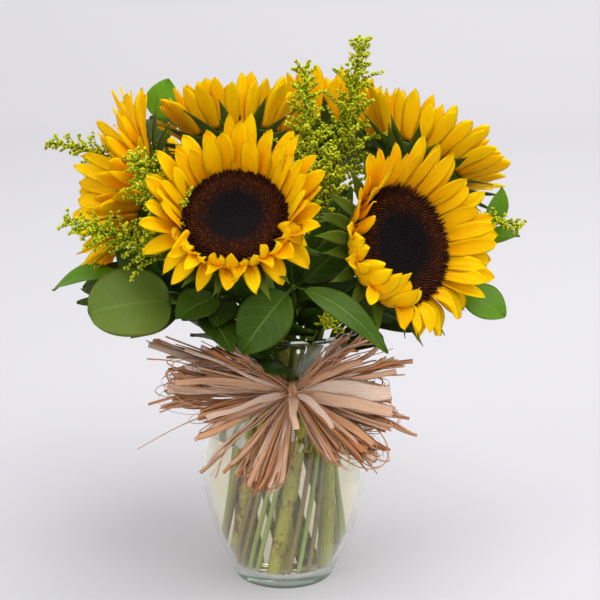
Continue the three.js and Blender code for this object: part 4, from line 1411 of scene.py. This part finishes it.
def strand(draw, points, wide, face=FRONT, tip=True, curl=1.0, lightness=None):
    """One ribbon: it rolls up here and there, twists slowly, has a kink or two and is never quite even.
    A ribbon with a tip is loose at its far end. One without comes back to the knot."""
    if tip:
        points, _ = spread_evenly(points, 32 if wide < 3.2 else 48)
    length = float(np.sum(np.linalg.norm(np.diff(points, axis=0), axis=1)))
    t = np.linspace(0, 1, len(points))
    from_end = 1 if tip else 1 - t
    roll = 0.8 + 0.2 * np.sin(draw.uniform(2, 7) * t + draw.uniform(0, 6))
    half = wide * roll * (0.35 + 0.65 * np.minimum(1, np.minimum(t, from_end) * 6))
    fold = draw.uniform(-0.4, 0.4) * curl
    pleat, phase = draw.uniform(1, 3), draw.uniform(0, 6)

    def lift(t, u):
        pleats = 0.12 * np.cos(pleat * math.pi * u + phase) * half[:, None] ** 0.5
        return fold * half[:, None] * np.abs(u) + pleats

    turned_by = draw.uniform(-35, 35) + draw.uniform(-60, 60) * np.sin(2.2 * t + draw.uniform(0, 6))
    twist = np.radians(turned_by * curl)
    waves = [np.sin(draw.uniform(5, 13) * t + draw.uniform(0, 6)) for _ in range(3)]
    shiver = np.stack(waves, axis=1) * (np.minimum(t, from_end) * 1.6 * curl)[:, None]
    for _ in range(2 if tip else 0):
        bent = np.maximum(0, t - draw.uniform(0.35, 0.85))[:, None]
        shiver += bent * np.array([draw.uniform(-0.2, 0.2) * length for _ in range(3)]) * curl
    columns = 3 if wide < 2.0 else 5 if wide < 3.2 else 9
    lightness = draw.random() if lightness is None else lightness
    points = off_vase(points + shiver)
    return blade(points, face, half, lift, STRIP_THICKNESS, columns, twist, seed=lightness, tip=False)


test_strip = strand(random.Random(1), test_line, 1.0)
print("a narrow strip has", len(test_strip["points"]), "points")

# %% Loops of the bow
LOOP_ROWS = 34

draw = random.Random(700)


def jitter(x, y, z):
    """A draw of up to x, y and z to either side."""
    return np.array([draw.uniform(-x, x), draw.uniform(-y, y), draw.uniform(-z, z)])


def loop_strand(to, open_by, threads):
    """A ribbon that leaves the knot, turns over at its far end and comes back."""
    way = unit(to - KNOT_AT)
    out = unit(FRONT - way * np.dot(FRONT, way))
    if draw.random() < threads:
        # A thread, in a round loop that is seen from its open side
        wide, tilt = draw.uniform(0.45, 1.1), draw.choice([-1, 1]) * draw.uniform(0.9, 1.5)
        open_by *= draw.uniform(0.6, 1.3)
    else:
        # A flat ribbon, in a narrow loop that is seen from its face
        wide, tilt = draw.uniform(0.9, 3.0), draw.uniform(-0.5, 0.5)
        open_by *= draw.uniform(0.3, 0.9)
    out = turn_about(out, way, np.array(tilt))
    far = KNOT_AT + (to - KNOT_AT) * 1.33
    start, end = (KNOT_AT + way * 4 + jitter(3, 3, 3) for _ in range(2))
    points = cubic(start, far + out * open_by * 1.7, far - out * open_by * 1.7, end, LOOP_ROWS)
    t = np.linspace(0, 1, LOOP_ROWS)[:, None]
    face = out * np.cos(math.pi * t) + way * np.sin(math.pi * t)
    return strand(draw, points, wide, face, tip=False)


print("the line of a loop has", LOOP_ROWS, "points")

# %% Tails of the bow
TAIL_ROWS = 60


def tail_strand(to, wide, bow, curl, root, sway=None, lightness=None):
    """A loose ribbon from the knot. root and sway are how far its root and its middle may be off."""
    start = KNOT_AT + unit(to - KNOT_AT) * 5 + jitter(*root)
    middle = (start + to) / 2 + np.array([0, -bow, bow])
    if sway:
        middle = middle + jitter(*sway)
    return strand(draw, quadratic(start, middle, to, TAIL_ROWS), wide, curl=curl, lightness=lightness)


print("the line of a tail has", TAIL_ROWS, "points")

# %% Fill the sheaves


def torn_width(widest):
    """Most ribbons are torn into narrow strips and a few are whole."""
    return 0.5 + (widest - 0.5) * draw.random() ** 1.4


ribbons = []
for loop in LOOPS:
    for k in range(loop["count"]):
        to = np.array(loop["to"], float) + jitter(*loop["spread"])
        to = KNOT_AT + (to - KNOT_AT) * draw.uniform(0.8, 1.02)
        ribbons.append(loop_strand(to, loop["open"], loop.get("threads", 0.5)))
for tail in TAILS:
    for k in range(tail["count"]):
        to = np.array(tail["to"], float) + jitter(*tail["spread"]) * min(k, 4) / 4
        wide = torn_width(tail["wide"])
        ribbons.append(tail_strand(to, wide, tail["bow"], tail.get("curl", 0.8), (2, 2, 2), (6, 6, 6)))
print("ribbons in the bow:", len(ribbons))

# %% [markdown]
# Whole ribbons
#
# A few ribbons are not torn. They lie flat, wide and pale among the others. The broadest one runs to
# the right from the knot, with narrower ones above and below it. Five run to the left, and two short
# ones hang in front.

# %% Wide ribbons
WIDE = [
    {"to": (82, -86, 174), "wide": 9.0, "bow": 8, "lightness": 1.0},
    {"to": (86, -76, 188), "wide": 3.0, "bow": 7, "lightness": 0.8},
    {"to": (78, -88, 158), "wide": 5.0, "bow": 10, "lightness": 0.85},
    {"to": (-84, -74, 170), "wide": 3.2, "bow": 8, "lightness": 0.9},
    {"to": (-98, -56, 203), "wide": 3.4, "bow": 4, "lightness": 1.0},
    {"to": (-76, -76, 186), "wide": 3.4, "bow": 6, "lightness": 0.75},
    {"to": (-52, -86, 156), "wide": 3.2, "bow": 9, "lightness": 0.95},
    {"to": (-66, -84, 140), "wide": 2.6, "bow": 9, "lightness": 0.85},
    {"to": (8, -88, 150), "wide": 4.2, "bow": 10, "lightness": 0.9},
    {"to": (38, -90, 152), "wide": 3.2, "bow": 14, "lightness": 1.0},
    {"to": (68, -82, 134), "wide": 3.2, "bow": 7, "lightness": 0.45},
    {"to": (58, -76, 200), "wide": 3.0, "bow": 6, "lightness": 0.7},
]
for ribbon in WIDE:
    to = np.array(ribbon["to"], float)
    ribbons.append(tail_strand(to, ribbon["wide"], ribbon["bow"], 0.5, (1, 0, 1), lightness=ribbon["lightness"]))
print("with the wide ones:", len(ribbons))

# %% [markdown]
# Knot and band
#
# The knot is the place where the bundle passes over itself: a few short rings of ribbon round one
# middle. The band is the same raffia, wound round the neck of the vase. Each wind keeps a hair off the
# glass, rises and falls a little on its way round, and follows the neck where it widens.

# %% Knot and band
KNOT_RINGS, WINDS = 9, 24


def closed_strip(line, face, half_width, columns):
    """A strip whose two ends meet."""
    return blade(line, face, half_width, None, STRIP_THICKNESS, columns, seed=draw.random(), tip=False)


for k in range(KNOT_RINGS):
    angle = np.linspace(0, 2 * math.pi, 41)
    lean = draw.uniform(-0.5, 0.5)
    x, y, z = KNOT_SIZE * draw.uniform(0.6, 0.85)
    aside = lean * x * 0.6 * np.sin(angle) + draw.uniform(-3.5, 3.5)
    ring = np.stack([aside, -y * np.cos(angle), z * 0.8 * np.sin(angle)], axis=1)
    ribbons.append(closed_strip(KNOT_AT + ring, ring * [0, 1, 1], draw.uniform(0.8, 1.8), 5))

winds = []
for k in range(WINDS):
    angle = np.linspace(0, 2 * math.pi, 73) + draw.uniform(0, 6)
    height = draw.uniform(BAND["bottom"] + 2, BAND["top"] - 2)
    height = height + draw.uniform(0.4, 2.4) * np.sin(angle + draw.uniform(0, 6))
    radius = wall_radius(height) + 0.7 + draw.uniform(0, BAND["thickness"] - 1) + 0.4 * np.sin(3 * angle)
    ring = np.stack([radius * np.cos(angle), radius * np.sin(angle), height], axis=1)
    winds.append(closed_strip(ring, ring * [1, 1, 0], draw.uniform(0.9, 2.8), 3))
print("winds round the neck:", len(winds))

# %% [markdown]
# Raffia finish
#
# Dry raffia is matt and straw-coloured, from pinkish pale to a warm brown, and every strip has its own
# tone. So a strip's seed picks its colour. A noise that is stretched along the strip draws the darker
# fibres and raises them, and its seed shifts that noise too, so that no two strips show the same
# fibres.

# %% Raffia material
raffia = Finish(
    "raffia", Roughness=0.6, Specular_IOR_Level=0.05, Subsurface_Weight=0.12, Subsurface_Scale=0.002,
)
along, across, seed = (raffia.number(name) for name in NUMBERS)
stretches = ((across, 6.0), (along, 2.0), (seed, 40.0))
fibre_place = raffia.place(*(raffia.math("MULTIPLY", value, by) for value, by in stretches))
fibres = raffia.noise(fibre_place, 4.0, 5.0, 0.7)
tone = raffia.ramp(seed, [
    (0.0, srgb(194, 130, 84)), (0.4, srgb(214, 156, 114)),
    (0.8, srgb(226, 180, 148)), (1.0, srgb(232, 204, 186)),
])
color = raffia.paint(srgb(158, 92, 48), tone, fibres, [(0.4, 0.0), (0.75, 0.5)])
raffia.link(color, "Base Color")
raffia.bump(fibres, 0.7, 0.0006)

piece("raffia_bow_ribbons", ribbons, raffia, "raffia_bow")
piece("raffia_band_winds", winds, raffia, "raffia_band")

# %% [markdown]
# Floor, backdrop and light
#
# The photograph has the plain look of a catalogue: a pale sheet that sweeps from the table up behind
# the object, and light so soft that shadows have no edges. One curved sheet gives the same. It glows
# faintly, which makes the shadow on it as weak as in the photograph. Three large area lights, above and
# at both sides, stand in for soft boxes. Two more light up the sheet behind and beside, and a bright
# world fills the rest.

# %% Stage
SWEEP_FRONT, SWEEP_BACK, SWEEP_RADIUS, SWEEP_TOP, SWEEP_HALF = -7.0, 1.9, 0.9, 3.2, 8.0
bend = [
    (SWEEP_BACK + SWEEP_RADIUS * math.sin(a), SWEEP_RADIUS * (1 - math.cos(a)))
    for a in np.linspace(0, math.pi / 2, 25)
]
path = [(SWEEP_FRONT, 0.0), *bend, (SWEEP_BACK + SWEEP_RADIUS, SWEEP_TOP)]
corners = [(x, y, z) for y, z in path for x in (-SWEEP_HALF, SWEEP_HALF)]
faces = [(2 * i, 2 * i + 1, 2 * i + 3, 2 * i + 2) for i in range(len(path) - 1)]
sweep_mesh = bpy.data.meshes.new("backdrop")
sweep_mesh.from_pydata(corners, [], faces)
sweep_mesh.polygons.foreach_set("use_smooth", [True] * len(faces))
paper = Finish(
    "backdrop_paper", Base_Color=srgb(171, 170, 173), Roughness=0.9,
    Emission_Color=(0.97, 0.96, 1.0, 1), Emission_Strength=0.18,
)
sweep_mesh.materials.append(paper.material)
backdrop = bpy.data.objects.new("backdrop", sweep_mesh)
bpy.context.collection.objects.link(backdrop)
print("the sheet has", len(faces), "faces and rises to", SWEEP_TOP, "m")

# %% Lights
BOUQUET = (0, 0, 0.25)
SOFT_BOXES = [
    {"name": "above", "place": (0.6, -0.6, 2.5), "aim": BOUQUET, "size": (2.2, 2.2), "power": 62},
    {"name": "left", "place": (-1.9, -1.6, 1.3), "aim": BOUQUET, "size": (1.4, 1.8), "power": 22},
    {"name": "right", "place": (1.7, -1.8, 1.6), "aim": BOUQUET, "size": (1.4, 1.8), "power": 9},
    {"name": "behind", "place": (0.5, 0.9, 2.9), "aim": (0.7, 2.8, 1.7), "size": (2.4, 0.8), "power": 34},
    {"name": "beside", "place": (1.9, 0.9, 2.0), "aim": (1.0, 2.4, 0.5), "size": (0.8, 0.8), "power": 7},
]


def soft_box(name, place, aim, size, power):
    data = bpy.data.lights.new(f"box_{name}", "AREA")
    data.shape = "RECTANGLE"
    data.size, data.size_y = size
    data.energy = power
    made = bpy.data.objects.new(data.name, data)
    made.location = place
    way = np.array(aim) - np.array(place)
    tilt = math.acos(-way[2] / np.linalg.norm(way))
    made.rotation_euler = (tilt, 0.0, math.atan2(way[1], way[0]) - math.pi / 2)
    bpy.context.collection.objects.link(made)


for box in SOFT_BOXES:
    soft_box(**box)

world = bpy.data.worlds.new("studio")
bpy.context.scene.world = world
world.use_nodes = True
sky = world.node_tree.nodes["Background"]
sky.inputs["Color"].default_value = (1.0, 0.99, 0.99, 1)
sky.inputs["Strength"].default_value = 0.7
bpy.context.scene.view_settings.view_transform = "Standard"
